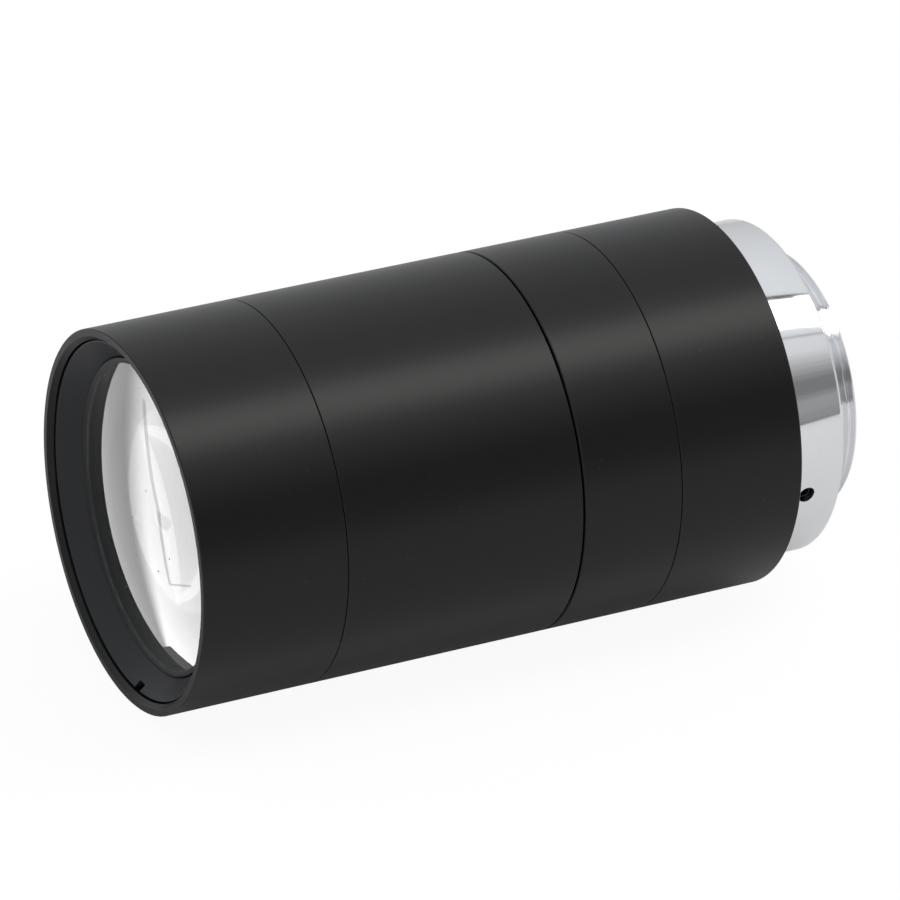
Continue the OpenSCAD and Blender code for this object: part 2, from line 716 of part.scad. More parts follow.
// Plated mount ring: flange, seat face and threaded nose
module mount_ring() color(plated) lens_axis() difference() {
    turned([
        [mount_cavity, barrel_end_s], [flange_r - ring_chamfer, barrel_end_s],
        [flange_r, barrel_end_s + ring_chamfer], [flange_r, seat_s - flange_chamfer],
        [flange_r - flange_chamfer, seat_s], [thread_r, seat_s],
        [thread_r, nose_end_s - thread_chamfer], [thread_r - thread_chamfer, nose_end_s],
        [mount_bore, nose_end_s], [mount_bore, mount_cavity_end_s],
        [mount_cavity, mount_cavity_end_s]
    ]);
    for (a = thirds) spoke(set_screw_hole_r, mount_cavity - overrun, flange_r + overrun,
        set_screw_angle + a, set_screw_s);
}

// Set screws that clamp the mount ring on the holder's boss
module mount_set_screws() color(steel) lens_axis() for (a = thirds) difference() {
    spoke(set_screw_r, set_screw_in, set_screw_in + set_screw_len, set_screw_angle + a,
        set_screw_s);
    translate([0, 0, set_screw_s]) rotate([0, 0, set_screw_angle + a]) rotate([0, 90, 0])
        translate([0, 0, set_screw_in + set_screw_len - socket_depth])
            cylinder(r = socket_share * set_screw_r, h = socket_depth + overrun, $fn = 6);
}

// Focus ring, with three helical grooves in its wall for the followers
module focus_ring() color(black_anodised) lens_axis() difference() {
    turned([
        [barrel_r - rim_width, 0], [barrel_r - ring_chamfer, 0], [barrel_r, ring_chamfer],
        [barrel_r, focus_seam_s - fine_seam / 2 - seam_chamfer],
        [barrel_r - seam_chamfer, focus_seam_s - fine_seam / 2],
        [ring_in, focus_seam_s - fine_seam / 2], [ring_in, trim_recess_s],
        [ring_in + trim_recess, trim_recess_s], [ring_in + trim_recess, rim_bevel]
    ]);
    tube(ring_in + snap_reach + end_play, ring_in - overrun, snap_s - end_play,
        snap_s + snap_t + end_play);
    for (a = thirds) helical_slot(focus_slot_w, ring_in - overrun, ring_in + groove_depth,
        focus_angle + a - focus_turn, focus_angle + a, focus_pin_s - focus_travel, focus_pin_s);
    spoke(thumb_hole_r, ring_in - overrun, barrel_r + overrun, thumb_angle, focus_thumb_s);
}

module focus_lock_screw() color(steel) lens_axis() thumb_screw(focus_thumb_s);

// Sliding cell of the front group
module front_cell() color(black_anodised) lens_axis() difference() {
    turned([
        [trim_cone_r, trim_rear_s], [front_cell_r, trim_rear_s],
        [front_cell_r, front_cell_end_s], [spacer_rear_r, front_cell_end_s],
        [spacer_rear_r, third_edge_s + glass_gap], [third_bore, third_edge_s + glass_gap],
        [third_bore, third_step_s], [front_bore, third_step_s], [front_bore, front_edge_s],
        [trim_cone_r, front_edge_s]
    ]);
    for (a = thirds) spoke(focus_pin_r + seat_fit, front_bore - overrun, front_cell_r + overrun,
        focus_angle + a, focus_pin_s);
}

// Conical ring round the front glass, with two spanner notches
module trim_ring() color(dark_anodised) lens_axis() difference() {
    turned([
        [sleeve_r - trim_edge, trim_s], [sleeve_r, trim_s], [sleeve_r, trim_s + trim_flange_t],
        [front_cell_r, trim_s + trim_flange_t], [front_cell_r, trim_rear_s],
        [trim_cone_r, trim_rear_s], [trim_cone_r, trim_end_s]
    ]);
    for (a = halves) rotate([0, 0, notch_angle + a])
        translate([sleeve_r - notch_reach, -notch_w / 2, trim_s - overrun])
            cube([notch_reach + overrun, notch_w, notch_depth + overrun]);
}

// Threaded ring in front of the first lens
module front_retainer() color(black_anodised) lens_axis() turned([
    [trim_cone_r - seat_fit - trim_edge, trim_rear_s + seat_fit],
    [trim_cone_r - seat_fit, trim_rear_s + seat_fit],
    [trim_cone_r - seat_fit, front_lens_s + sag(front_lens_front_r, front_glass_r) - glass_gap],
    [front_glass_r, front_lens_s + sag(front_lens_front_r, front_glass_r) - glass_gap]
]);

// Front group: a pair with a shared face, and a third lens behind it
module front_lens() color(glass) lens_axis()
    lens(front_lens_front_r, front_cement_r, front_lens_r, front_lens_s, front_lens_t);

module second_lens() color(glass) lens_axis()
    lens(front_cement_r, -second_lens_rear_r, front_lens_r, second_lens_s, second_lens_t);

module third_lens() color(glass) lens_axis()
    lens(third_lens_front_r, third_lens_rear_r, third_lens_r, third_lens_s, third_lens_t);

// Spacer between the cemented pair and the third lens
module front_spacer() color(dark_anodised) lens_axis() turned([
    [spacer_front_r, second_rear_s - sag(second_lens_rear_r, spacer_front_r) + glass_gap],
    [front_lens_r, second_rear_s - sag(second_lens_rear_r, spacer_front_r) + glass_gap],
    [front_lens_r, third_step_s - glass_gap], [third_lens_r, third_step_s - glass_gap],
    [third_lens_r, third_lens_s + sag(third_lens_front_r, spacer_rear_r) - glass_gap],
    [spacer_rear_r, third_lens_s + sag(third_lens_front_r, spacer_rear_r) - glass_gap]
]);

// Followers that join the front cell, the sleeve's slots and the focus ring's grooves
module focus_pins() color(brass) lens_axis()
    followers(focus_pin_r, front_bore + seat_fit, focus_pin_reach, focus_angle, focus_pin_s);

// Zoom ring, keyed to the drive pins from its rear end
module zoom_ring() color(black_anodised) lens_axis() difference() {
    outer_ring(zoom_seam_s + zoom_seam / 2, zoom_ring_end_s, ring_chamfer, seam_chamfer);
    tube(sleeve_r + circlip_reach + end_play, ring_in - overrun, circlip_s - end_play,
        zoom_ring_end_s + overrun);
    for (a = halves) straight_slot(zoom_slot_w, ring_in - overrun, ring_in + key_depth,
        drive_angle + a, drive_s, zoom_ring_end_s + overrun);
    spoke(thumb_hole_r, ring_in - overrun, barrel_r + overrun, thumb_angle, zoom_thumb_s);
}

// Sleeve with a helical slot for each follower of the two sliding cells
module cam_sleeve() color(brass) lens_axis() difference() {
    turned([
        [cam_in, cam_s], [cam_r, cam_s], [cam_r, collar_s], [collar_r, collar_s],
        [collar_r, collar_s + collar_t], [cam_r, collar_s + collar_t], [cam_r, cam_end_s],
        [cam_in, cam_end_s]
    ]);
    for (a = thirds) {
        helical_slot(zoom_slot_w, cam_in - overrun, cam_r + overrun, zoom_angle + a - zoom_turn,
            zoom_angle + a, variator_pin_s + variator_travel, variator_pin_s);
        helical_slot(zoom_slot_w, cam_in - overrun, cam_r + overrun, zoom_angle + a - zoom_turn,
            zoom_angle + a, compensator_pin_s - compensator_travel, compensator_pin_s);
    }
    for (a = halves) spoke(zoom_pin_r + seat_fit, cam_in - overrun, collar_r + overrun,
        drive_angle + a, drive_s);
}

// Pins through the body's slots, from the cam sleeve's collar to the zoom ring
module zoom_drive_pins() color(steel) lens_axis() for (a = halves)
    spoke(zoom_pin_r, cam_in + seat_fit, drive_reach, drive_angle + a, drive_s);

module zoom_lock_screw() color(steel) lens_axis() thumb_screw(zoom_thumb_s);

// Sliding cell of the negative group
module variator_cell() color(dark_anodised) lens_axis() difference() {
    turned(concat(cell_outside(variator_s, variator_end_s), [
        [variator_front_r + seat_fit, variator_s], [variator_front_r + seat_fit, variator_step_s],
        [variator_pair_r - edge_land, variator_step_s],
        [variator_pair_r - edge_land, variator_step_s + variator_lip_t],
        [variator_pair_r + seat_fit, variator_step_s + variator_lip_t],
        [variator_pair_r + seat_fit, variator_end_s]
    ]));
    for (a = thirds) spoke(zoom_pin_r + seat_fit, zoom_cell_r - pin_seat, zoom_cell_r + overrun,
        zoom_angle + a, variator_pin_s);
}

// Negative group: one lens in front of a cemented pair
module variator_lens_1() color(glass) lens_axis()
    lens(variator_r1, variator_r2, variator_front_r, variator_1_s, variator_t1);

module variator_lens_2() color(glass) lens_axis()
    lens(-variator_r3, variator_r4, variator_pair_r, variator_2_s, variator_t2);

module variator_lens_3() color(glass) lens_axis()
    lens(variator_r4, variator_r5, variator_pair_r, variator_3_s, variator_t3);

// Threaded ring behind the cemented pair
module variator_retainer() color(black_anodised) lens_axis() tube(variator_pair_r,
    variator_pair_r - edge_land, variator_edge_s + glass_gap, variator_end_s);

module variator_pins() color(brass) lens_axis()
    followers(zoom_pin_r, zoom_cell_r - pin_seat, cam_r, zoom_angle, variator_pin_s);

// Sliding cell of the compensating group
module compensator_cell() color(dark_anodised) lens_axis() difference() {
    turned(concat(cell_outside(compensator_s, compensator_end_s), [
        [compensator_lens_r - edge_land, compensator_s],
        [compensator_lens_r - edge_land, compensator_lip_s],
        [compensator_lens_r + seat_fit, compensator_lip_s],
        [compensator_lens_r + seat_fit, compensator_end_s]
    ]));
    for (a = thirds) spoke(zoom_pin_r + seat_fit, zoom_cell_r - pin_seat, zoom_cell_r + overrun,
        zoom_angle + a, compensator_pin_s);
}

// Cemented pair that keeps the image sharp while the variator moves
module compensator_lens_1() color(glass) lens_axis()
    lens(compensator_r1, -compensator_r2, compensator_lens_r, compensator_1_s, compensator_t1);

module compensator_lens_2() color(glass) lens_axis()
    lens(-compensator_r2, -compensator_r3, compensator_lens_r, compensator_2_s, compensator_t2);

module compensator_retainer() color(black_anodised) lens_axis() tube(compensator_lens_r,
    compensator_lens_r - retainer_lip, compensator_end_s - retainer_t, compensator_end_s);

module compensator_pins() color(brass) lens_axis()
    followers(zoom_pin_r, zoom_cell_r - pin_seat, cam_r, zoom_angle, compensator_pin_s);

// Iris ring, keyed to the drive pin from its front end
module iris_ring() color(black_anodised) lens_axis() difference() {
    outer_ring(iris_seam_s + fine_seam / 2, barrel_end_s - end_play, seam_chamfer, ring_chamfer);
    tube(sleeve_r + holder_lip_reach + end_play, ring_in - overrun, tube_end_s - end_play,
        barrel_end_s + overrun);
    straight_slot(iris_slot_w, ring_in - overrun, ring_in + key_depth, iris_drive_angle,
        iris_seam_s - overrun, iris_pin_s);
    spoke(thumb_hole_r, ring_in - overrun, barrel_r + overrun, thumb_angle, iris_thumb_s);
}

// Ring whose six slots follow the blades' studs at a constant ratio
module iris_actuator() color(brass) lens_axis() difference() {
    turned([
        [actuator_r - actuator_wall, actuator_s], [actuator_r, actuator_s],
        [actuator_r, actuator_end_s], [actuator_in, actuator_end_s],
        [actuator_in, actuator_plate_s], [actuator_r - actuator_wall, actuator_plate_s]
    ]);
    for (j = [0 : blade_count - 1]) rotate([0, 0, blade_angle + j * blade_step])
        translate([0, 0, actuator_plate_s - overrun])
            linear_extrude(actuator_plate_t + 2 * overrun) stud_slot();
    spoke(iris_pin_r + seat_fit, actuator_r - actuator_wall - overrun, actuator_r + overrun,
        iris_drive_angle, iris_pin_s);
}

// Outline of one slot of the actuator
module stud_slot() {
    w = stud_r + slot_fit;
    turns = [for (i = [0 : iris_slot_steps]) iris_turn * i / iris_slot_steps];
    back = [for (i = [iris_slot_steps : -1 : 0]) iris_turn * i / iris_slot_steps];
    polygon(concat(
        [for (t = turns) stud_point(t) + w * stud_side(t)],
        [for (t = back) stud_point(t) - w * stud_side(t)]
    ));
    for (t = [0, iris_turn]) translate(stud_point(t)) circle(r = w, $fn = pin_facets);
}

// Pin through the body's slot, from the actuator to the iris ring
module iris_drive_pin() color(steel) lens_axis()
    spoke(iris_pin_r, actuator_r - iris_pin_seat, drive_reach, iris_drive_angle, iris_pin_s);

module iris_lock_screw() color(steel) lens_axis() thumb_screw(iris_thumb_s);

// Blade number j: curved leaf, arm, stud in the actuator, pivot in the housing
module iris_blade(j) color(blade_black) lens_axis() rotate([0, 0, blade_angle + j * blade_step]) {
    leaf_s = blade_s + j * blade_pitch;
    leaf_r = (blade_inner_r + blade_outer_r) / 2;
    translate([0, 0, leaf_s]) {
        rotate_extrude(angle = blade_sweep)
            translate([blade_inner_r, 0]) square([blade_width, blade_t]);
        for (a = [0, blade_sweep]) rotate([0, 0, a]) translate([leaf_r, 0, 0])
            cylinder(r = blade_width / 2 + slot_end_relief, h = blade_t, $fn = pin_facets);
        translate([leaf_r, -blade_arm_w / 2, 0])
            cube([stud_circle_r - leaf_r, blade_arm_w, blade_t]);
        translate([blade_circle_r, 0, 0]) cylinder(r = blade_eye_r, h = blade_t, $fn = pin_facets);
        translate([stud_circle_r, 0, 0])
            cylinder(d = blade_arm_w, h = blade_t, $fn = pin_facets);
    }
    translate([blade_circle_r, 0, leaf_s])
        cylinder(r = pivot_r, h = iris_end_s - end_play - leaf_s, $fn = pin_facets);
    translate([stud_circle_r, 0, stud_front_s])
        cylinder(r = stud_r, h = leaf_s + blade_t - stud_front_s, $fn = pin_facets);
}

body_barrel();
focus_snap_ring();
guide_barrel();
guide_screws();
zoom_circlip();
iris_housing();
iris_cover();
rear_holder();
relay_lens_1();
relay_lens_2();
relay_lens_3();
relay_spacer();
rear_spacer();
rear_lens();
rear_retainer();
mount_ring();
mount_set_screws();
focus_ring();
focus_lock_screw();
front_cell();
trim_ring();
front_retainer();
front_lens();
second_lens();
front_spacer();
third_lens();
focus_pins();
zoom_ring();
cam_sleeve();
zoom_drive_pins();
zoom_lock_screw();
variator_cell();
variator_lens_1();
variator_lens_2();
variator_lens_3();
variator_retainer();
variator_pins();
compensator_cell();
compensator_lens_1();
compensator_lens_2();
compensator_retainer();
compensator_pins();
iris_ring();
iris_actuator();
iris_drive_pin();
iris_lock_screw();
iris_blade(0);  // iris_blade_1
iris_blade(1);  // iris_blade_2
iris_blade(2);  // iris_blade_3
iris_blade(3);  // iris_blade_4
iris_blade(4);  // iris_blade_5
iris_blade(5);  // iris_blade_6
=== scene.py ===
# %% [markdown]
# # A manual zoom camera lens with a CS mount
# The real object is a plain black barrel of turned aluminium with three rings that turn,
# a curved front glass and a bright plated mount with a fine thread.
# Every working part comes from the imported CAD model, so this script only dresses it:
# it lights it, gives each metal and glass its finish, and cuts the fine forms that the
# CAD leaves plain, such as the thread and the knurls.
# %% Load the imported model
import math

import bmesh
import bpy
from mathutils import Matrix, Vector


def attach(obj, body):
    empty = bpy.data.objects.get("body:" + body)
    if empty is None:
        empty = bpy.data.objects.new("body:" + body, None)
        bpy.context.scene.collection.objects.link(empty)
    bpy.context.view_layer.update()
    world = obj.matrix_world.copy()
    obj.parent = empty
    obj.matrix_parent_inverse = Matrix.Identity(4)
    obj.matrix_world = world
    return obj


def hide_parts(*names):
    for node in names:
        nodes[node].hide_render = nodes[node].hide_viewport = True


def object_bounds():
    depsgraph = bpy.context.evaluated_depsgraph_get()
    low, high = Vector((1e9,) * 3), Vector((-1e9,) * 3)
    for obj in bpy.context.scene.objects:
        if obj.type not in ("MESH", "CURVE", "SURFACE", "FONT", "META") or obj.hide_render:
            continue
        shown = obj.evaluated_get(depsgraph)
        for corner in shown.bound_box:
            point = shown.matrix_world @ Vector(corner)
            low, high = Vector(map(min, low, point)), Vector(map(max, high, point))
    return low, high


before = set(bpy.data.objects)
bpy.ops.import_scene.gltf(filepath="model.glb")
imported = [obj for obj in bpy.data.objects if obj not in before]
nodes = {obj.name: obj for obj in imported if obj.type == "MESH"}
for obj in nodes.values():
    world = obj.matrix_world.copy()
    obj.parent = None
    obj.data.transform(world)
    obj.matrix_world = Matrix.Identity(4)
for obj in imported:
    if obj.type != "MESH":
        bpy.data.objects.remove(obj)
cad_low, cad_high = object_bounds()
scene = bpy.context.scene
scene.view_settings.view_transform = "Standard"
MM = 0.001
print("parts loaded:", len(nodes), "size in mm:", [round(v / MM, 2) for v in cad_high - cad_low])

# %% [markdown]
# ## The camera
# The photograph was taken from the front left and a little above, with a long lens, which
# keeps the barrel's two edges almost parallel. The camera stands where a fit of the
# photograph's rims and seams puts it: an angle round the object, an angle above the
# floor, and a point. Its three axes follow from the two angles.
# %% Camera
AZIMUTH = math.radians(-26.245)
ELEVATION = math.radians(26.061)
CAMERA_PLACE = Vector((-0.3015, -0.54356, 0.29660))
FOCAL_LENGTH = 286.29

camera_back = Vector((math.sin(AZIMUTH) * math.cos(ELEVATION),
                      -math.cos(AZIMUTH) * math.cos(ELEVATION), math.sin(ELEVATION)))
camera_right = Vector((math.cos(AZIMUTH), math.sin(AZIMUTH), 0))
camera_up = camera_back.cross(camera_right)
camera_data = bpy.data.cameras.new("photo_camera")
camera_data.lens = FOCAL_LENGTH
camera_data.clip_start = 0.01
camera = bpy.data.objects.new("photo_camera", camera_data)
turn = Matrix((camera_right, camera_up, camera_back)).transposed()
camera.matrix_world = Matrix.Translation(CAMERA_PLACE) @ turn.to_4x4()
scene.collection.objects.link(camera)
scene.camera = camera
print("camera stands", round(CAMERA_PLACE.length, 3), "m from the mount")

# %% [markdown]
# ## Small tools for materials
# A material is a tree of nodes. These helpers add a node and wire it in one line, so that
# the cells below read as recipes. `wire` takes either a socket or a plain value.
# %% Material helpers
def wire(tree, value, socket):
    """Links a socket to a socket, or writes a plain value on it."""
    if isinstance(value, bpy.types.NodeSocket):
        tree.links.new(value, socket)
    else:
        socket.default_value = value


def add(tree, kind, settings=None, **inputs):
    """Adds a node, sets its properties and wires its inputs by name."""
    node = tree.nodes.new("ShaderNode" + kind)
    for label, value in (settings or {}).items():
        setattr(node, label, value)
    for label, value in inputs.items():
        wire(tree, value, node.inputs[label.replace("_", " ")])
    return node


def maths(tree, operation, first, second=0.0, clamp=False):
    """One arithmetic step on one or two values."""
    node = tree.nodes.new("ShaderNodeMath")
    node.operation = operation
    node.use_clamp = clamp
    wire(tree, first, node.inputs[0])
    wire(tree, second, node.inputs[1])
    return node.outputs[0]


def hypotenuse(tree, first, second):
    """The long side of a right triangle: the distance that two sides at a right angle give."""
    return maths(tree, "SQRT", maths(tree, "ADD", maths(tree, "MULTIPLY", first, first),
                                     maths(tree, "MULTIPLY", second, second)))


def blend_colours(tree, share, first, second):
    """A mix of two colours, each a socket or three numbers."""
    node = tree.nodes.new("ShaderNodeMix")
    node.data_type = "RGBA"
    wire(tree, share, node.inputs["Factor"])
    for value, socket in ((first, node.inputs[6]), (second, node.inputs[7])):
        wire(tree, value if isinstance(value, bpy.types.NodeSocket) else (*value, 1), socket)
    return node.outputs[2]


def spread(tree, value, low, high):
    """Stretches a value from 0..1 to low..high."""
    node = add(tree, "MapRange", Value=value)
    node.inputs["To Min"].default_value = low
    node.inputs["To Max"].default_value = high
    return node.outputs["Result"]


def new_group(name, inputs, outputs):
    """An empty node group with named number inputs and named outputs."""
    tree = bpy.data.node_groups.new(name, "ShaderNodeTree")
    for label, start in inputs.items():
        socket = tree.interface.new_socket(label, in_out="INPUT", socket_type="NodeSocketFloat")
        socket.default_value = start
    for label in outputs:
        tree.interface.new_socket(label, in_out="OUTPUT", socket_type="NodeSocketFloat")
    return tree, tree.nodes.new("NodeGroupInput"), tree.nodes.new("NodeGroupOutput")


def place(tree, group, **values):
    """Puts a node group in a material with its own values."""
    node = tree.nodes.new("ShaderNodeGroup")
    node.node_tree = group
    for label, value in values.items():
        wire(tree, value, node.inputs[label.replace("_", " ")])
    return node


def new_material(name):
    """A material with a Principled shader, and its tree and shader node."""
    material = bpy.data.materials.new(name)
    material.use_nodes = True
    return material, material.node_tree, material.node_tree.nodes["Principled BSDF"]


# %% [markdown]
# ## Effects that several finishes share
# Turned metal carries the fine rings of the lathe tool. On a cylinder they follow one
# another along the axis, and on a face from the middle outwards, so the pattern is a noise
# of two numbers only: the place along the lens's axis and the distance from it. It turns
# with the part.
# %% Lathe rings
lathe_rings, given, made = new_group("lathe_rings", {"Rings Per Metre": 9000.0}, ["Height"])
place_of = add(lathe_rings, "TexCoord").outputs["Object"]
parts = add(lathe_rings, "SeparateXYZ", Vector=place_of).outputs
from_axis = hypotenuse(lathe_rings, parts["Y"], parts["Z"])
flat_place = add(lathe_rings, "CombineXYZ", X=parts["X"], Y=from_axis).outputs[0]
rings = add(lathe_rings, "TexNoise", Vector=flat_place,
            Scale=given.outputs["Rings Per Metre"], Detail=1.5, Roughness=0.6)
wire(lathe_rings, rings.outputs["Fac"], made.inputs["Height"])
print("group made:", lathe_rings.name)

# %% [markdown]
# Anodised aluminium is blasted or etched first, which leaves a grain finer than a tenth
# of a millimetre, and the dye takes a little unevenly over about a centimetre. One group
# gives both: a fine grain for the bump and a slow drift for colour and gloss.
# %% Grain and drift
grain_and_drift, given, made = new_group(
    "grain_and_drift", {"Grain Size": 0.00007, "Drift Size": 0.009}, ["Grain", "Drift"])
place_of = add(grain_and_drift, "TexCoord").outputs["Object"]
for label, detail in (("Grain", 2.0), ("Drift", 3.0)):
    scale = maths(grain_and_drift, "DIVIDE", 1.0, given.outputs[label + " Size"])
    noise = add(grain_and_drift, "TexNoise", Vector=place_of, Scale=scale, Detail=detail)
    wire(grain_and_drift, noise.outputs["Fac"], made.inputs[label])
print("group made:", grain_and_drift.name)

# %% [markdown]
# Sharp edges lose their dye first, where the lens is handled. The Bevel node gives the
# normal that a rounded edge would have, and where this differs from the true normal there
# is an edge. A noise breaks the line up, as handling does.
# %% Edge wear
EDGE_GAIN = 7.0
WEAR_NOISE = 900.0

edge_wear, given, made = new_group(
    "edge_wear", {"Edge Width": 0.00012, "Amount": 1.0}, ["Mask"])
rounded = add(edge_wear, "Bevel", {"samples": 6}, Radius=given.outputs["Edge Width"])
true_normal = add(edge_wear, "NewGeometry").outputs["Normal"]
alike = add(edge_wear, "VectorMath", {"operation": "DOT_PRODUCT"})
wire(edge_wear, rounded.outputs[0], alike.inputs[0])
wire(edge_wear, true_normal, alike.inputs[1])
edge = maths(edge_wear, "MULTIPLY", maths(
    edge_wear, "SUBTRACT", 1.0, alike.outputs["Value"]), EDGE_GAIN, clamp=True)
patchy = add(edge_wear, "TexNoise", Vector=add(edge_wear, "TexCoord").outputs["Object"],
             Scale=WEAR_NOISE, Detail=3.0)
worn = maths(edge_wear, "MULTIPLY", edge, spread(edge_wear, patchy.outputs["Fac"], 0.2, 1.0))
wire(edge_wear, maths(edge_wear, "MULTIPLY", worn, given.outputs["Amount"], clamp=True),
     made.inputs["Mask"])
print("group made:", edge_wear.name)

# %% [markdown]
# Even a clean lens carries a few specks of dust. They are the cores of a cell pattern,
# and a second, wider noise decides which of them exist.
# %% Dust specks
SPECK_SIZE = 0.055
PATCH_NOISE = 260.0
PATCH_FROM = 0.53

dust_specks, given, made = new_group(
    "dust_specks", {"Spacing": 0.0016, "Amount": 1.0}, ["Mask"])
place_of = add(dust_specks, "TexCoord").outputs["Object"]
cells = add(dust_specks, "TexVoronoi", Vector=place_of,
            Scale=maths(dust_specks, "DIVIDE", 1.0, given.outputs["Spacing"]))
core = maths(dust_specks, "LESS_THAN", cells.outputs["Distance"], SPECK_SIZE)
gate = add(dust_specks, "TexNoise", Vector=place_of, Scale=PATCH_NOISE, Detail=1.0)
kept = maths(dust_specks, "GREATER_THAN", gate.outputs["Fac"], PATCH_FROM)
wire(dust_specks, maths(dust_specks, "MULTIPLY", maths(dust_specks, "MULTIPLY", core, kept),
                        given.outputs["Amount"]), made.inputs["Mask"])
print("group made:", dust_specks.name)

# %% [markdown]
# ## Anodised aluminium
# The barrel is black with a soft sheen. The conical ring round the glass is a shade paler
# and bluer, with a lower grain and a softer gloss. Both are the same recipe: a dark dye
# that drifts a little, paler edges, lathe rings under a fine grain, and a gloss that is
# broad, not mirror-like.
# %% Anodised finishes
BARREL_DUST = (0.20, 0.19, 0.18)
BARREL_DUST_SHARE = 0.12
GRAIN_SHARE = 0.7


def anodised(name, dark, pale, worn, gloss, grain_height, wear):
    """Dyed, etched aluminium. gloss is the lowest and highest roughness."""
    material, tree, shader = new_material(name)
    fine = place(tree, grain_and_drift)
    rings = place(tree, lathe_rings, Rings_Per_Metre=7000.0)
    edges = place(tree, edge_wear, Amount=wear)
    dust = place(tree, dust_specks)
    colour = blend_colours(tree, fine.outputs["Drift"], dark, pale)
    colour = blend_colours(tree, edges.outputs["Mask"], colour, worn)
    dusty = maths(tree, "MULTIPLY", dust.outputs["Mask"], BARREL_DUST_SHARE)
    colour = blend_colours(tree, dusty, colour, BARREL_DUST)
    wire(tree, colour, shader.inputs["Base Color"])
    wire(tree, spread(tree, rings.outputs["Height"], *gloss), shader.inputs["Roughness"])
    height = maths(tree, "ADD", maths(tree, "MULTIPLY", fine.outputs["Grain"], GRAIN_SHARE),
                   maths(tree, "MULTIPLY", rings.outputs["Height"], 1 - GRAIN_SHARE))
    bump = add(tree, "Bump", Height=height, Strength=0.5, Distance=grain_height)
    wire(tree, bump.outputs["Normal"], shader.inputs["Normal"])
    shader.inputs["Specular IOR Level"].default_value = 0.31
    return material


black_finish = anodised("black_satin_anodising", (0.0030, 0.0030, 0.0032),
                        (0.0046, 0.0045, 0.0044), (0.050, 0.050, 0.051),
                        (0.29, 0.38), 0.000006, 0.8)
dark_finish = anodised("blue_grey_anodising", (0.0185, 0.0195, 0.0235),
                       (0.0225, 0.0235, 0.0280), (0.070, 0.074, 0.084),
                       (0.34, 0.44), 0.000004, 0.6)
print("finishes made:", black_finish.name, dark_finish.name)

# %% [markdown]
# ## Plated and bare metals
# The mount is turned brass with a bright plating: almost a mirror, with faint lathe rings
# and a few hazy spots. Steel screws, brass pins and cams, and blackened shutter steel are
# the same recipe with other colours and more roughness.
# %% Metal finishes
METAL_DUST = (0.30, 0.29, 0.28)
MOST_HAZE = 0.9
DUST_ROUGHNESS = 0.3


def metal(name, colour, hazed, gloss, ring_height, dust_share):
    """A bare or plated metal. hazed is its colour where handling dulls it."""
    material, tree, shader = new_material(name)
    fine = place(tree, grain_and_drift, Drift_Size=0.005)
    rings = place(tree, lathe_rings, Rings_Per_Metre=11000.0)
    dust = place(tree, dust_specks, Spacing=0.0011, Amount=dust_share)
    haze = spread(tree, fine.outputs["Drift"], 0.0, MOST_HAZE)
    tint = blend_colours(tree, haze, colour, hazed)
    wire(tree, blend_colours(tree, dust.outputs["Mask"], tint, METAL_DUST),
         shader.inputs["Base Color"])
    rough = maths(tree, "ADD", spread(tree, fine.outputs["Drift"], *gloss),
                  maths(tree, "MULTIPLY", dust.outputs["Mask"], DUST_ROUGHNESS))
    wire(tree, rough, shader.inputs["Roughness"])
    bump = add(tree, "Bump", Height=rings.outputs["Height"], Strength=0.4,
               Distance=ring_height)
    wire(tree, bump.outputs["Normal"], shader.inputs["Normal"])
    shader.inputs["Metallic"].default_value = 1.0
    return material


plated_finish = metal("bright_plating", (0.86, 0.87, 0.89), (0.78, 0.79, 0.81),
                      (0.06, 0.12), 0.0000006, 0.5)
steel_finish = metal("machined_steel", (0.56, 0.57, 0.59), (0.44, 0.44, 0.45),
                     (0.22, 0.34), 0.000003, 0.3)
brass_finish = metal("turned_brass", (0.74, 0.56, 0.27), (0.60, 0.42, 0.20),
                     (0.18, 0.30), 0.000003, 0.3)
blade_finish = metal("blackened_steel", (0.045, 0.045, 0.048), (0.028, 0.028, 0.030),
                     (0.30, 0.42), 0.000002, 0.3)
for finish in (plated_finish, steel_finish, brass_finish, blade_finish):
    print("finish made:", finish.name)

# %% [markdown]
# ## Optical glass
# The polished faces are clear and sharp. The ground rim of an element is found by its
# normal, which has no share along the axis. It is blackened in the hidden groups, to stop
# stray light, and left as pale frosted glass in the front pair, where the photograph
# shows it as a grey band. The front element has a higher index and a greyer colour than
# the rest: it mirrors more, and the parts behind it look darker. Specks of dust are rough,
# pale spots.
# %% Glass finish
BLACKENED = (0.010, 0.010, 0.011)
FROSTED = (0.90, 0.90, 0.88)
GLASS_DUST = (0.75, 0.74, 0.72)
GLASS_DUST_SHARE = 0.5
GROUND_ROUGHNESS = 0.55
SPECK_ROUGHNESS = 0.6
RIM_TILT = 0.02


def optical_glass(name, bending, clear, ground):
    """Glass with the colour that its faces let through, and the colour of its ground rim."""
    material, tree, shader = new_material(name)
    sides = add(tree, "SeparateXYZ", Vector=add(tree, "NewGeometry").outputs["True Normal"])
    tilt = maths(tree, "ABSOLUTE", sides.outputs["X"])
    rim = maths(tree, "LESS_THAN", tilt, RIM_TILT)
    dust = place(tree, dust_specks, Spacing=0.0021)
    dusty = maths(tree, "MULTIPLY", dust.outputs["Mask"], GLASS_DUST_SHARE)
    colour = blend_colours(tree, rim, clear, ground)
    wire(tree, blend_colours(tree, dusty, colour, GLASS_DUST), shader.inputs["Base Color"])
    wire(tree, maths(tree, "ADD", maths(tree, "MULTIPLY", rim, GROUND_ROUGHNESS),
                     maths(tree, "MULTIPLY", dusty, SPECK_ROUGHNESS)),
         shader.inputs["Roughness"])
    shader.inputs["Transmission Weight"].default_value = 1.0
    shader.inputs["IOR"].default_value = bending
    shader.inputs["Specular IOR Level"].default_value = 0.75
    return material


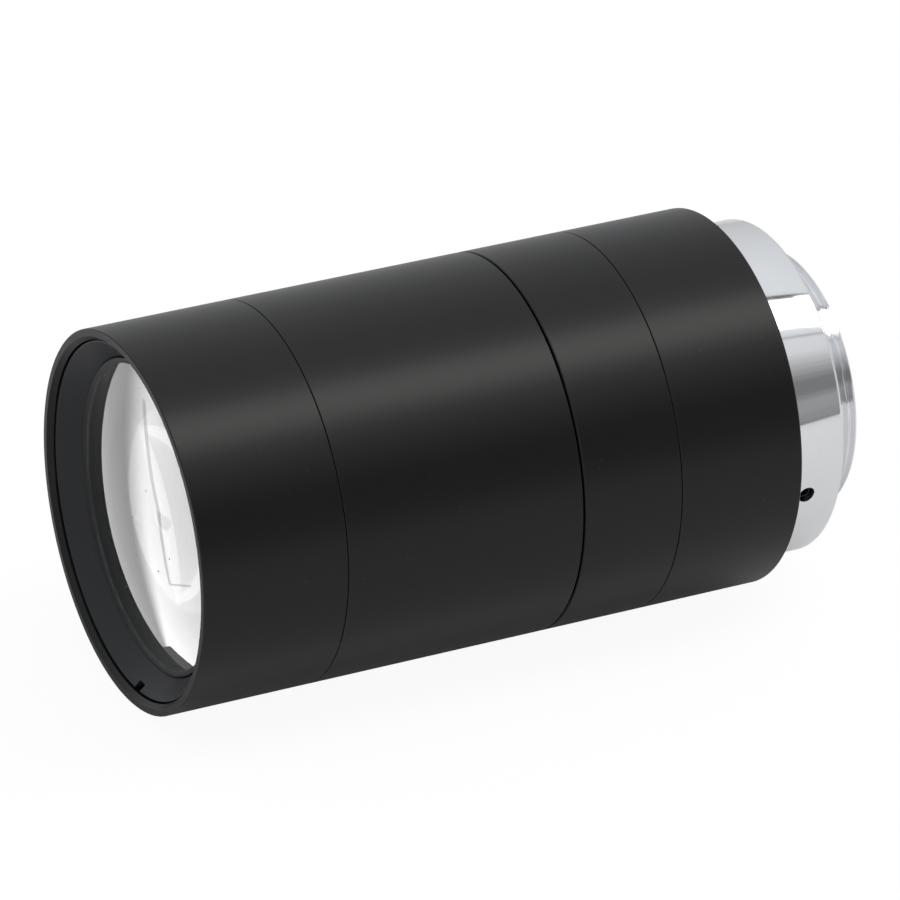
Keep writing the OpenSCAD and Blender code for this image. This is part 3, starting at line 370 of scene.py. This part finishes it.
crown_glass = optical_glass("polished_glass", 1.62, (0.975, 0.99, 0.985), BLACKENED)
pair_glass = optical_glass("polished_pair_glass", 1.62, (0.975, 0.99, 0.985), FROSTED)
front_glass = optical_glass("polished_front_glass", 1.80, (0.54, 0.55, 0.54), FROSTED)
print("glass made:", crown_glass.name, pair_glass.name, front_glass.name)

# %% [markdown]
# ## Dressing the CAD parts
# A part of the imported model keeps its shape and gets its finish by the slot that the
# record gives it. The second lens is the rear half of the front pair, so it gets the
# frosted rim. The fine parts below replace a few of the CAD parts afterwards.
# %% Finishes for the CAD parts
FINISH_OF_SLOT = {
    "black_anodised": black_finish, "dark_anodised": dark_finish,
    "plated_brass": plated_finish, "steel": steel_finish, "brass": brass_finish,
    "blade_steel": blade_finish, "glass": crown_glass,
}
for part in nodes.values():
    for slot in part.material_slots:
        slot.material = FINISH_OF_SLOT[slot.material.name]
for slot in nodes["second_lens"].material_slots:
    slot.material = pair_glass
print("parts dressed:", len(nodes))

# %% [markdown]
# ## A tool for turned pieces
# A turned piece is an outline swept round an axis. Here each point of the outline may
# give its radius as a number or as a rule of the angle, so the same sweep also makes a
# thread and a knurl. The outline is closed, so the piece has no open edge. Where it comes
# to the axis it stops a thousandth of a millimetre short, because points on the axis
# itself would lie on one another.
# %% Turned pieces
SEAT_S = 67.3
ON_AXIS = 0.001
SHARP_FROM = math.radians(28)


def along(s):
    """The place on the lens's axis of a length measured from the front rim, in mm."""
    return (s - SEAT_S) * MM


def swept(name, outline, steps, finish):
    """Sweeps a closed outline of (place in mm, radius in mm or rule of the angle) about X."""
    mesh = bpy.data.meshes.new(name)
    piece = bpy.data.objects.new(name, mesh)
    scene.collection.objects.link(piece)
    builder = bmesh.new()
    loops = []
    for place_mm, radius in outline:
        ring = []
        for step in range(steps):
            angle = math.tau * step / steps
            reach = (radius(angle) if callable(radius) else radius) * MM
            ring.append(builder.verts.new(
                (place_mm * MM, reach * math.cos(angle), reach * math.sin(angle))))
        loops.append(ring)
    for here, there in zip(loops, loops[1:] + loops[:1]):
        for step in range(steps):
            after = (step + 1) % steps
            builder.faces.new((here[step], here[after], there[after], there[step]))
    bmesh.ops.recalc_face_normals(builder, faces=builder.faces)
    builder.to_mesh(mesh)
    builder.free()
    mesh.materials.append(finish)
    mesh.shade_smooth()
    mesh.set_sharp_from_angle(angle=SHARP_FROM)
    return piece


# %% [markdown]
# ## The mount with its thread
# A CS mount has a thread of one inch with 32 turns to the inch: each turn rises 0.794 mm,
# its flanks lean 30 degrees each way, and its crests are flat. In the sweep the radius at
# each place depends on how far the angle has carried the thread along, and the thread
# fades out before the shoulder and at the chamfer of the nose.
# %% Thread rule
PITCH = 25.4 / 32
CREST_R = 12.7
THREAD_DEPTH = 0.46
CREST_SHARE = 0.14
ROOT_SHARE = 0.20
THREAD_START = 0.55
THREAD_END = 3.4
THREAD_FADE = 0.25
NOSE_CHAMFER = 0.3


def thread_radius(place_mm):
    """The rule that gives the thread's radius round the axis at one place behind the seat."""
    def rule(angle):
        phase = (place_mm / PITCH - angle / math.tau) % 1.0
        flank = (abs(phase - 0.5) * 2 - CREST_SHARE) / (1 - CREST_SHARE - ROOT_SHARE)
        depth = THREAD_DEPTH * min(max(flank, 0.0), 1.0)
        fade = min(max((place_mm - THREAD_START) / THREAD_FADE, 0.0), 1.0)
        chamfer = CREST_R - max(0.0, place_mm - (THREAD_END - NOSE_CHAMFER))
        bottom = CREST_R - THREAD_DEPTH
        return min(bottom + (CREST_R - depth - bottom) * fade, chamfer)
    return rule


print("thread: pitch", round(PITCH, 3), "mm,", round((THREAD_END - THREAD_START) / PITCH, 1),
      "turns")

# %% [markdown]
# The flange in front of the thread is plain, with small rounded edges that catch the
# light. Two short arcs of points round them. The plated ring is hollow, and the CAD's own
# black holder shows in its bore.
# %% Mount ring
FLANGE_R = 16.2
CAVITY_R = 13.53
BORE_R = 10.9
FLANGE_FRONT = 61.7 - SEAT_S
CAVITY_END = 66.0 - SEAT_S
FRONT_ROUND = 0.15
SEAT_ROUND = 0.35
THREAD_ROWS_FROM = 0.10
THREAD_ROWS = 78
BORE_CHAMFER = 0.25
MOUNT_STEPS = 288


def rounded_corner(place_mm, radius, size, start, sweep, steps=5):
    """Points of a quarter round. start is the angle of its first point in the outline."""
    return [(place_mm + size * math.cos(start + sweep * i / steps),
             radius + size * math.sin(start + sweep * i / steps)) for i in range(steps + 1)]


def mount_outline():
    """The mount ring's outline, clockwise from the front of its inner wall."""
    quarter = math.pi / 2
    points = [(FLANGE_FRONT, CAVITY_R)]
    points += rounded_corner(FLANGE_FRONT + FRONT_ROUND, FLANGE_R - FRONT_ROUND, FRONT_ROUND,
                             math.pi, -quarter)
    points += rounded_corner(-SEAT_ROUND, FLANGE_R - SEAT_ROUND, SEAT_ROUND, quarter, -quarter)
    points += [(0.0, CREST_R + 0.1), (0.04, CREST_R - THREAD_DEPTH - 0.02)]
    for row in range(THREAD_ROWS + 1):
        place_mm = THREAD_ROWS_FROM + (THREAD_END - THREAD_ROWS_FROM) * row / THREAD_ROWS
        points.append((place_mm, thread_radius(place_mm)))
    points += [(THREAD_END, BORE_R + BORE_CHAMFER), (THREAD_END - BORE_CHAMFER, BORE_R),
               (CAVITY_END, BORE_R), (CAVITY_END, CAVITY_R)]
    return points


mount = swept("threaded_mount_ring", mount_outline(), MOUNT_STEPS, plated_finish)
print("mount ring faces:", len(mount.data.polygons))

# %% [markdown]
# Three set screws in the flange clamp the mount ring on the holder inside it. Their holes
# are cut with a boolean against three short bars, and each hole gets a tiny chamfer. The
# modifier's result is copied into a plain mesh, and the bars are removed.
# %% Holes for the set screws
SET_SCREW_PLACE = 63.6 - SEAT_S
FIRST_SCREW_DEGREES = -165.4
SET_SCREW_ANGLES = [math.radians(FIRST_SCREW_DEGREES + 120 * i) for i in range(3)]
HOLE_R = 0.83
HOLE_CHAMFER = 0.05
BAR_OVERRUN = 1
BAR_STEPS = 48


def radial_frame(place_mm, angle):
    """A matrix that stands a piece made along X on the barrel, pointing out at an angle."""
    outward = Vector((0, math.cos(angle), math.sin(angle)))
    round_way = Vector((0, -math.sin(angle), math.cos(angle)))
    axis = Vector((1, 0, 0))
    spin = Matrix((outward, round_way, axis)).transposed()
    return Matrix.Translation((place_mm * MM, 0, 0)) @ spin.to_4x4()


cutters = []
for number, angle in enumerate(SET_SCREW_ANGLES):
    bar = swept(f"hole_bar_{number}", [
        (CAVITY_R - BAR_OVERRUN, ON_AXIS), (CAVITY_R - BAR_OVERRUN, HOLE_R),
        (FLANGE_R - HOLE_CHAMFER, HOLE_R), (FLANGE_R, HOLE_R + HOLE_CHAMFER),
        (FLANGE_R + BAR_OVERRUN, HOLE_R + HOLE_CHAMFER), (FLANGE_R + BAR_OVERRUN, ON_AXIS)],
        BAR_STEPS, plated_finish)
    bar.data.transform(radial_frame(SET_SCREW_PLACE, angle))
    cutters.append(bar)
for bar in cutters:
    cut = mount.modifiers.new("hole", "BOOLEAN")
    cut.operation = "DIFFERENCE"
    cut.solver = "EXACT"
    cut.object = bar
depsgraph = bpy.context.evaluated_depsgraph_get()
cut_mesh = bpy.data.meshes.new_from_object(mount.evaluated_get(depsgraph))
mount.modifiers.clear()
mount.data = cut_mesh
cut_mesh.set_sharp_from_angle(angle=SHARP_FROM)
for bar in cutters:
    bpy.data.objects.remove(bar)
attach(mount, "root")
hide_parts("mount_ring")
print("mount ring faces after the holes:", len(mount.data.polygons))

# %% [markdown]
# ## The front glass and its ring
# In the photograph the front glass fills its mount almost to the conical ring, so here its
# face is flatter than the CAD's and its edge stands further forward. The rear face is the
# cemented one. Each face is a cap of a sphere.
# %% Front lens
FRONT_FACE_R = 60
CEMENTED_R = 24
LENS_R = 14.75
FACE_S = 1.0
CEMENTED_S = 3.04
GLASS_STEPS = 192


def cap_depth(sphere_r, radius):
    """How far a sphere's face has fallen back at this distance from the axis."""
    return sphere_r - math.sqrt(sphere_r ** 2 - radius ** 2)


def cap(sphere_r, start_s, steps=26):
    """Points of a face from the axis out to the lens's rim."""
    radii = [max(LENS_R * i / steps, ON_AXIS) for i in range(steps + 1)]
    return [(start_s + cap_depth(sphere_r, radius) - SEAT_S, radius) for radius in radii]


lens_outline = cap(FRONT_FACE_R, FACE_S) + cap(CEMENTED_R, CEMENTED_S)[::-1]
lens = swept("polished_front_lens", lens_outline, GLASS_STEPS, front_glass)
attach(lens, "front_cell")
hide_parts("front_lens")
print("lens faces:", len(lens.data.polygons))

# %% [markdown]
# A threaded ring presses on the edge of the front glass. Its front edge is bevelled and
# stands a little proud of the cone's end, which leaves a thin dark groove round it. Its
# skirt reaches back past the glass's edge into the cell.
# %% Front retaining ring
RETAINER_OUT = 15.06
RETAINER_IN = 14.55
RETAINER_FRONT = 2.6
RETAINER_LAND = 0.14
GLASS_GAP = 0.02
SKIRT_IN = LENS_R + GLASS_GAP
SKIRT_END = 3.4
GLASS_EDGE = FACE_S + cap_depth(FRONT_FACE_R, RETAINER_IN) - GLASS_GAP
retainer_outline = [
    (RETAINER_FRONT, RETAINER_OUT), (RETAINER_FRONT, RETAINER_OUT - RETAINER_LAND),
    (RETAINER_FRONT + 0.05, RETAINER_OUT - 0.26), (GLASS_EDGE, RETAINER_IN),
    (GLASS_EDGE, SKIRT_IN), (SKIRT_END, SKIRT_IN), (SKIRT_END, RETAINER_OUT)]
retainer = swept("front_retaining_ring",
                 [(s - SEAT_S, radius) for s, radius in retainer_outline],
                 GLASS_STEPS, black_finish)
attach(retainer, "front_cell")
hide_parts("front_retainer")
print("retaining ring faces:", len(retainer.data.polygons))

# %% [markdown]
# ## Thumb screws
# Each turning ring is locked by a small screw with a straight-knurled head. The knurl is
# a wave on the head's radius that fades at the two chamfers, and a fine thread runs down
# the shank. The head has rounded edges and a shallow dish in its top. The same outline
# makes all three, and each rides its own body.
# %% Thumb screw shape
HEAD_R = 2.2
HEAD_FROM = 18.45
HEAD_H = 3.6
SHANK_R = 0.95
TIP = 17.08
KNURLS = 30
KNURL_DEPTH = 0.13
SHANK_PITCH = 0.4
SHANK_THREAD_DEPTH = 0.11
SHANK_ROWS = 24
POINT_LEN = 0.25
DISH_DEPTH = 0.12
THUMB_STEPS = 240


def knurled(radius):
    """The rule of a rim with a straight knurl cut into it."""
    def rule(angle):
        wave = abs((angle * KNURLS / math.tau) % 1.0 - 0.5) * 2
        return radius - KNURL_DEPTH * wave
    return rule


def fine_thread(place_mm):
    """The rule of the shank's thread."""
    def rule(angle):
        phase = (place_mm / SHANK_PITCH - angle / math.tau) % 1.0
        return SHANK_R - SHANK_THREAD_DEPTH * abs(phase - 0.5) * 2
    return rule


def thumb_screw_outline():
    """The point, the threaded shank, the knurled rim and the dished top, in this order."""
    top = HEAD_FROM + HEAD_H
    points = [(TIP, ON_AXIS), (TIP, SHANK_R - 0.3), (TIP + 0.2, SHANK_R - 0.12)]
    for row in range(SHANK_ROWS + 1):
        place_mm = TIP + POINT_LEN + (HEAD_FROM - TIP - POINT_LEN) * row / SHANK_ROWS
        points.append((place_mm, fine_thread(place_mm)))
    points += [(HEAD_FROM, HEAD_R - 0.30), (HEAD_FROM + 0.08, HEAD_R - 0.16)]
    points += [(HEAD_FROM + 0.30, knurled(HEAD_R)), (top - 0.34, knurled(HEAD_R))]
    points += [(top - 0.08, HEAD_R - 0.20), (top, HEAD_R - 0.34), (top, HEAD_R - 0.75),
               (top - DISH_DEPTH, HEAD_R - 0.95), (top - DISH_DEPTH, ON_AXIS)]
    return points


THUMB_ANGLE = math.radians(-28.6)
THUMB_PLACES = (("focus", 5.51), ("zoom", 42.78), ("iris", 56.58))
for ring, s in THUMB_PLACES:
    screw = swept(ring + "_thumb_screw", thumb_screw_outline(), THUMB_STEPS, steel_finish)
    screw.data.transform(radial_frame(s - SEAT_S, THUMB_ANGLE))
    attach(screw, ring + "_lock")
    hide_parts(ring + "_lock_screw")
    print(screw.name, "faces:", len(screw.data.polygons))

# %% [markdown]
# ## Socket set screws
# The screws in the flange are headless, with a six-sided socket. The socket is a rule of
# the angle, too: a hexagon's radius grows towards its corners.
# %% Set screws
SCREW_R = 0.80
SCREW_FROM = 13.56
SCREW_LEN = 2.1
SOCKET_R = 0.47
SOCKET_DEPTH = 0.9
SCREW_ROWS = 28
THREADED_LEN = SCREW_LEN - 0.45
SCREW_STEPS = 96


def hexagon(radius):
    """The rule of a six-sided hole with this distance to its corners."""
    def rule(angle):
        turned = (angle + math.pi / 6) % (math.pi / 3) - math.pi / 6
        return radius * math.cos(math.pi / 6) / math.cos(turned)
    return rule


def thinner(rule):
    """The thumb screw's thread rule for the thinner set screw."""
    return lambda angle: rule(angle) - (SHANK_R - SCREW_R)


def set_screw_outline():
    """A cup point, a fine thread, a chamfer and the socket."""
    top = SCREW_FROM + SCREW_LEN
    points = [(SCREW_FROM + POINT_LEN, ON_AXIS), (SCREW_FROM, 0.45),
              (SCREW_FROM + 0.2, SCREW_R - 0.12)]
    for row in range(SCREW_ROWS + 1):
        place_mm = SCREW_FROM + POINT_LEN + THREADED_LEN * row / SCREW_ROWS
        points.append((place_mm, thinner(fine_thread(place_mm))))
    points += [(top, SCREW_R - 0.16), (top, hexagon(SOCKET_R)),
               (top - SOCKET_DEPTH, hexagon(SOCKET_R)), (top - SOCKET_DEPTH - 0.1, ON_AXIS)]
    return points


for number, angle in enumerate(SET_SCREW_ANGLES):
    screw = swept(f"socket_screw_{number + 1}", set_screw_outline(), SCREW_STEPS, blade_finish)
    screw.data.transform(radial_frame(SET_SCREW_PLACE, angle))
    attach(screw, "root")
    if number == 0:
        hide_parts("mount_set_screws")
print("set screws made:", len(SET_SCREW_ANGLES))

# %% [markdown]
# ## Studio
# The lens lies on a pale floor in a white room. To the camera the floor and the air are
# white. As a light, and in reflections, they are softer, which the Light Path node
# decides. The floor's true shading, with the lens's contact shadow, shows in the plating
# and on the underside of the barrel, and a small share of it shows to the camera.
# %% Floor
CAMERA_WHITE = 1.04
WHITE_TO_CAMERA = 0.90
WHITE_IN_GLOSS = 0.04
FLOOR_DARKER = (0.80, 0.80, 0.80)
FLOOR_PALER = (0.84, 0.84, 0.84)


def by_ray(tree, camera_value, glossy_value, light_value):
    """A value for rays from the camera or through glass, one for reflections, one for light."""
    path = add(tree, "LightPath").outputs
    direct = maths(tree, "MAXIMUM", path["Is Camera Ray"], path["Is Transmission Ray"])
    in_gloss = maths(tree, "SUBTRACT", glossy_value, light_value)
    value = maths(tree, "MULTIPLY", path["Is Glossy Ray"], in_gloss)
    value = maths(tree, "ADD", value, light_value)
    shift = maths(tree, "MULTIPLY", direct, camera_value - light_value)
    return maths(tree, "ADD", value, shift)


floor_finish, tree, shader = new_material("pale_floor")
cloud = add(tree, "TexNoise", Scale=6.0, Detail=2.0)
wire(tree, blend_colours(tree, cloud.outputs["Fac"], FLOOR_DARKER, FLOOR_PALER),
     shader.inputs["Base Color"])
shader.inputs["Roughness"].default_value = 0.8
white = add(tree, "Emission", Color=(1, 1, 1, 1), Strength=CAMERA_WHITE)
mix = tree.nodes.new("ShaderNodeMixShader")
wire(tree, by_ray(tree, WHITE_TO_CAMERA, WHITE_IN_GLOSS, 0.0), mix.inputs[0])
wire(tree, shader.outputs[0], mix.inputs[1])
wire(tree, white.outputs[0], mix.inputs[2])
wire(tree, mix.outputs[0], tree.nodes["Material Output"].inputs[0])


def flat_card(name, corners, finish):
    """A flat stage piece from its corners in metres."""
    mesh = bpy.data.meshes.new(name)
    mesh.from_pydata(corners, [], [list(range(len(corners)))])
    mesh.materials.append(finish)
    card = bpy.data.objects.new(name, mesh)
    scene.collection.objects.link(card)
    return card


FLOOR_HALF = 2.0
FLOOR_GAP = 0.00005
floor_z = cad_low.z - FLOOR_GAP
flat_card("floor", [(x * FLOOR_HALF, y * FLOOR_HALF, floor_z)
                    for x, y in ((-1, -1), (1, -1), (1, 1), (-1, 1))], floor_finish)
print("floor at", round(floor_z / MM, 2), "mm")

# %% [markdown]
# The air of the room is the world's own glow. It lights the lens evenly from all round,
# and in reflections it is dimmer at the horizon than overhead, as in a room that is lit
# from above.
# %% Air
AIR_LIGHT = 0.62
AIR_AT_HORIZON = 0.60
AIR_ABOVE = 0.86
AIR_COLOUR = (0.965, 0.98, 1.0, 1)
world = bpy.data.worlds.new("studio_air")
world.use_nodes = True
scene.world = world
air = world.node_tree
air.nodes.clear()
height = add(air, "SeparateXYZ", Vector=add(air, "TexCoord").outputs["Generated"]).outputs["Z"]
mirrored = spread(air, height, AIR_AT_HORIZON, AIR_ABOVE)
strength = by_ray(air, CAMERA_WHITE, mirrored, AIR_LIGHT)
glow = add(air, "Background", Color=AIR_COLOUR, Strength=strength)
world_output = air.nodes.new("ShaderNodeOutputWorld")
wire(air, glow.outputs[0], world_output.inputs[0])
print("air level", AIR_LIGHT)

# %% [markdown]
# One long softbox hangs above the barrel and a little towards the camera: its reflection
# is the broad warm band on the black. A cylinder mirrors, to one camera, directions that
# all lean equally along its axis and differ in the angle round it. So the softbox is
# placed by such an angle, and it faces the barrel's middle.
# %% Softbox
BARREL_MIDDLE = Vector((along(30), 0, 0))
SOFTBOX_ANGLE = 107.4
SOFTBOX_REACH = 0.60
SOFTBOX_SIZE = (0.70, 0.21)
SOFTBOX_LEVEL = 3.05
SOFTBOX_COLOUR = (1.0, 0.965, 0.93)
MIRROR_LEAN = 0.397


def toward(angle, reach):
    """A point in the direction that the barrel's side mirrors, at this angle round X."""
    side = math.sqrt(1 - MIRROR_LEAN * MIRROR_LEAN)
    return Vector((MIRROR_LEAN, side * math.cos(angle), side * math.sin(angle))) * reach


lamp_data = bpy.data.lights.new("overhead_softbox", "AREA")
lamp_data.shape = "RECTANGLE"
lamp_data.size, lamp_data.size_y = SOFTBOX_SIZE
lamp_data.energy = SOFTBOX_LEVEL * math.pi * SOFTBOX_SIZE[0] * SOFTBOX_SIZE[1]
lamp_data.color = SOFTBOX_COLOUR
lamp = bpy.data.objects.new("overhead_softbox", lamp_data)
scene.collection.objects.link(lamp)
lamp.location = BARREL_MIDDLE + toward(math.radians(SOFTBOX_ANGLE), SOFTBOX_REACH)
back = (lamp.location - BARREL_MIDDLE).normalized()
side = Vector((1, 0, 0)) - back * back.x
side.normalize()
lamp.rotation_euler = Matrix((side, back.cross(side), back)).transposed().to_euler()
print("softbox level", SOFTBOX_LEVEL, "at", SOFTBOX_ANGLE, "degrees round the barrel")

# %% [markdown]
# A wall of grey cards on the camera's side gives the black its darkest stripe and the
# plating its contrast, as a photographer's flag does: it darkens in steps towards its
# middle and is paler again below. Thin strips are the cloth rims of the softbox and the
# foot of the wall. Each card is given by the angles between which the barrel mirrors it,
# and a step of the wall by the angle at which it starts and its level. The cards show in
# reflections only.
# %% Grey cards
def glowing(name, level_of, mirrors_only=False):
    """A material that only glows, at the level that level_of gives in the new tree."""
    material = bpy.data.materials.new(name)
    material.use_nodes = True
    tree = material.node_tree
    tree.nodes.remove(tree.nodes["Principled BSDF"])
    glow = add(tree, "Emission", Color=(1, 1, 1, 1))
    wire(tree, level_of(tree), glow.inputs["Strength"])
    shown = glow.outputs[0]
    if mirrors_only:
        mix = tree.nodes.new("ShaderNodeMixShader")
        wire(tree, add(tree, "LightPath").outputs["Is Singular Ray"], mix.inputs[0])
        wire(tree, add(tree, "BsdfTransparent").outputs[0], mix.inputs[1])
        wire(tree, shown, mix.inputs[2])
        shown = mix.outputs[0]
    wire(tree, shown, tree.nodes["Material Output"].inputs[0])
    return material


def reflection_only(card):
    """The card shows in glossy reflections and nowhere else."""
    card.visible_camera = False
    card.visible_diffuse = False
    card.visible_transmission = False
    card.visible_shadow = False


def barrel_card(name, from_deg, to_deg, reach, level, half_x):
    """A card that covers the mirrored angles from one to another along the barrel."""
    corners = []
    for angle, side in ((from_deg, -1), (from_deg, 1), (to_deg, 1), (to_deg, -1)):
        point = toward(math.radians(angle), reach)
        corners.append(BARREL_MIDDLE + point + Vector((side * half_x, 0, 0)))
    finish = glowing(name + "_grey", lambda tree: level)
    reflection_only(flat_card(name, corners, finish))


WALL_REACH = 0.40
WALL_HALF = 0.20
WALL_END = 183.4
WALL_STEPS = ((137, 0.66), (140, 0.56), (143.5, 0.46), (147, 0.37), (150.5, 0.28),
              (154, 0.21), (164, 0.27), (167, 0.34), (176, 0.30), (181.6, 0.1))
wall_ends = [start for start, level in WALL_STEPS[1:]] + [WALL_END]
for number, ((start, level), end) in enumerate(zip(WALL_STEPS, wall_ends)):
    barrel_card(f"wall_{number + 1}", start, end, WALL_REACH, level, WALL_HALF)
RIM_REACH = SOFTBOX_REACH - 0.03
RIM_HALF = 0.36
SOFTBOX_RIMS = (("softbox_low_rim", 93.8, 97.4, 0.02),
                ("softbox_top_rim", 124.2, 125.8, 0.45))
for name, start, end, level in SOFTBOX_RIMS:
    barrel_card(name, start, end, RIM_REACH, level, RIM_HALF)
print("grey cards:", len(WALL_STEPS) + len(SOFTBOX_RIMS))

# %% [markdown]
# The curved front glass mirrors the floor in front of the lens, on the side away from the
# camera. There the photograph shows a bright sheet with a soft edge and a thin dark line
# across it. Both lie flat on the floor. Only a mirror-sharp reflection sees them, and all
# other rays pass through, so they put no light on the metal. The soft edge fans out from a
# point on the floor: across it the glow climbs from the lower level to the higher one.
# %% Sheet that the glass mirrors
SHEET_Z = floor_z + 0.0002
SHEET_EDGE_FROM = Vector((-0.066, 0.0, 0))
SHEET_EDGE_LEAN = math.radians(29)
SHEET_SOFTNESS = 0.12
SHEET_LOW = 1.45
SHEET_HIGH = 4.9
SHEET_CORNERS = ((-0.75, -0.06), (-0.069, -0.06), (-0.069, 0.004), (-0.045, 0.02),
                 (0.10, 0.60), (-0.75, 0.60))


def sheet_glow(tree):
    """The sheet's glow: low on one side of its edge and high on the other."""
    place_of = add(tree, "NewGeometry").outputs["Position"]
    parts = add(tree, "SeparateXYZ", Vector=place_of).outputs
    x = maths(tree, "SUBTRACT", parts["X"], SHEET_EDGE_FROM.x)
    y = maths(tree, "SUBTRACT", parts["Y"], SHEET_EDGE_FROM.y)
    across = maths(tree, "ADD", maths(tree, "MULTIPLY", x, -math.cos(SHEET_EDGE_LEAN)),
                   maths(tree, "MULTIPLY", y, -math.sin(SHEET_EDGE_LEAN)))
    reach = hypotenuse(tree, x, y)
    share = add(tree, "MapRange", {"interpolation_type": "SMOOTHSTEP"},
                Value=maths(tree, "DIVIDE", across, reach))
    share.inputs["From Min"].default_value = -SHEET_SOFTNESS
    share.inputs["From Max"].default_value = SHEET_SOFTNESS
    return spread(tree, share.outputs["Result"], SHEET_LOW, SHEET_HIGH)


reflection_only(flat_card("sheet_on_floor", [(x, y, SHEET_Z) for x, y in SHEET_CORNERS],
                          glowing("bright_sheet", sheet_glow, mirrors_only=True)))
print("sheet levels", SHEET_LOW, "to", SHEET_HIGH)

# %% [markdown]
# The thin line is a bent strip just above the sheet. It widens with the distance from the
# lens, so that the glass shows it equally thin all the way.
# %% Line across the sheet
LINE_Z = SHEET_Z + 0.0001
LINE_LEVEL = 3.0
LINE_SHARE = 0.03
LINE_PATH = [Vector((-0.128, 0.100)), Vector((-0.114, 0.070)), Vector((-0.096, 0.035)),
             Vector((-0.080, 0.0135)), Vector((-0.085, 0.0100))]

line_finish = glowing("sheet_line", lambda tree: LINE_LEVEL, mirrors_only=True)
for number, (here, there) in enumerate(zip(LINE_PATH, LINE_PATH[1:])):
    way = (there - here).normalized()
    side = Vector((-way.y, way.x))
    corners = []
    for point, turn_side in ((here, 1), (there, 1), (there, -1), (here, -1)):
        half = LINE_SHARE * (point - SHEET_EDGE_FROM.xy).length / 2
        corner = point + side * half * turn_side
        corners.append((corner.x, corner.y, LINE_Z))
    reflection_only(flat_card(f"sheet_line_{number + 1}", corners, line_finish))
print("line pieces:", len(LINE_PATH) - 1)
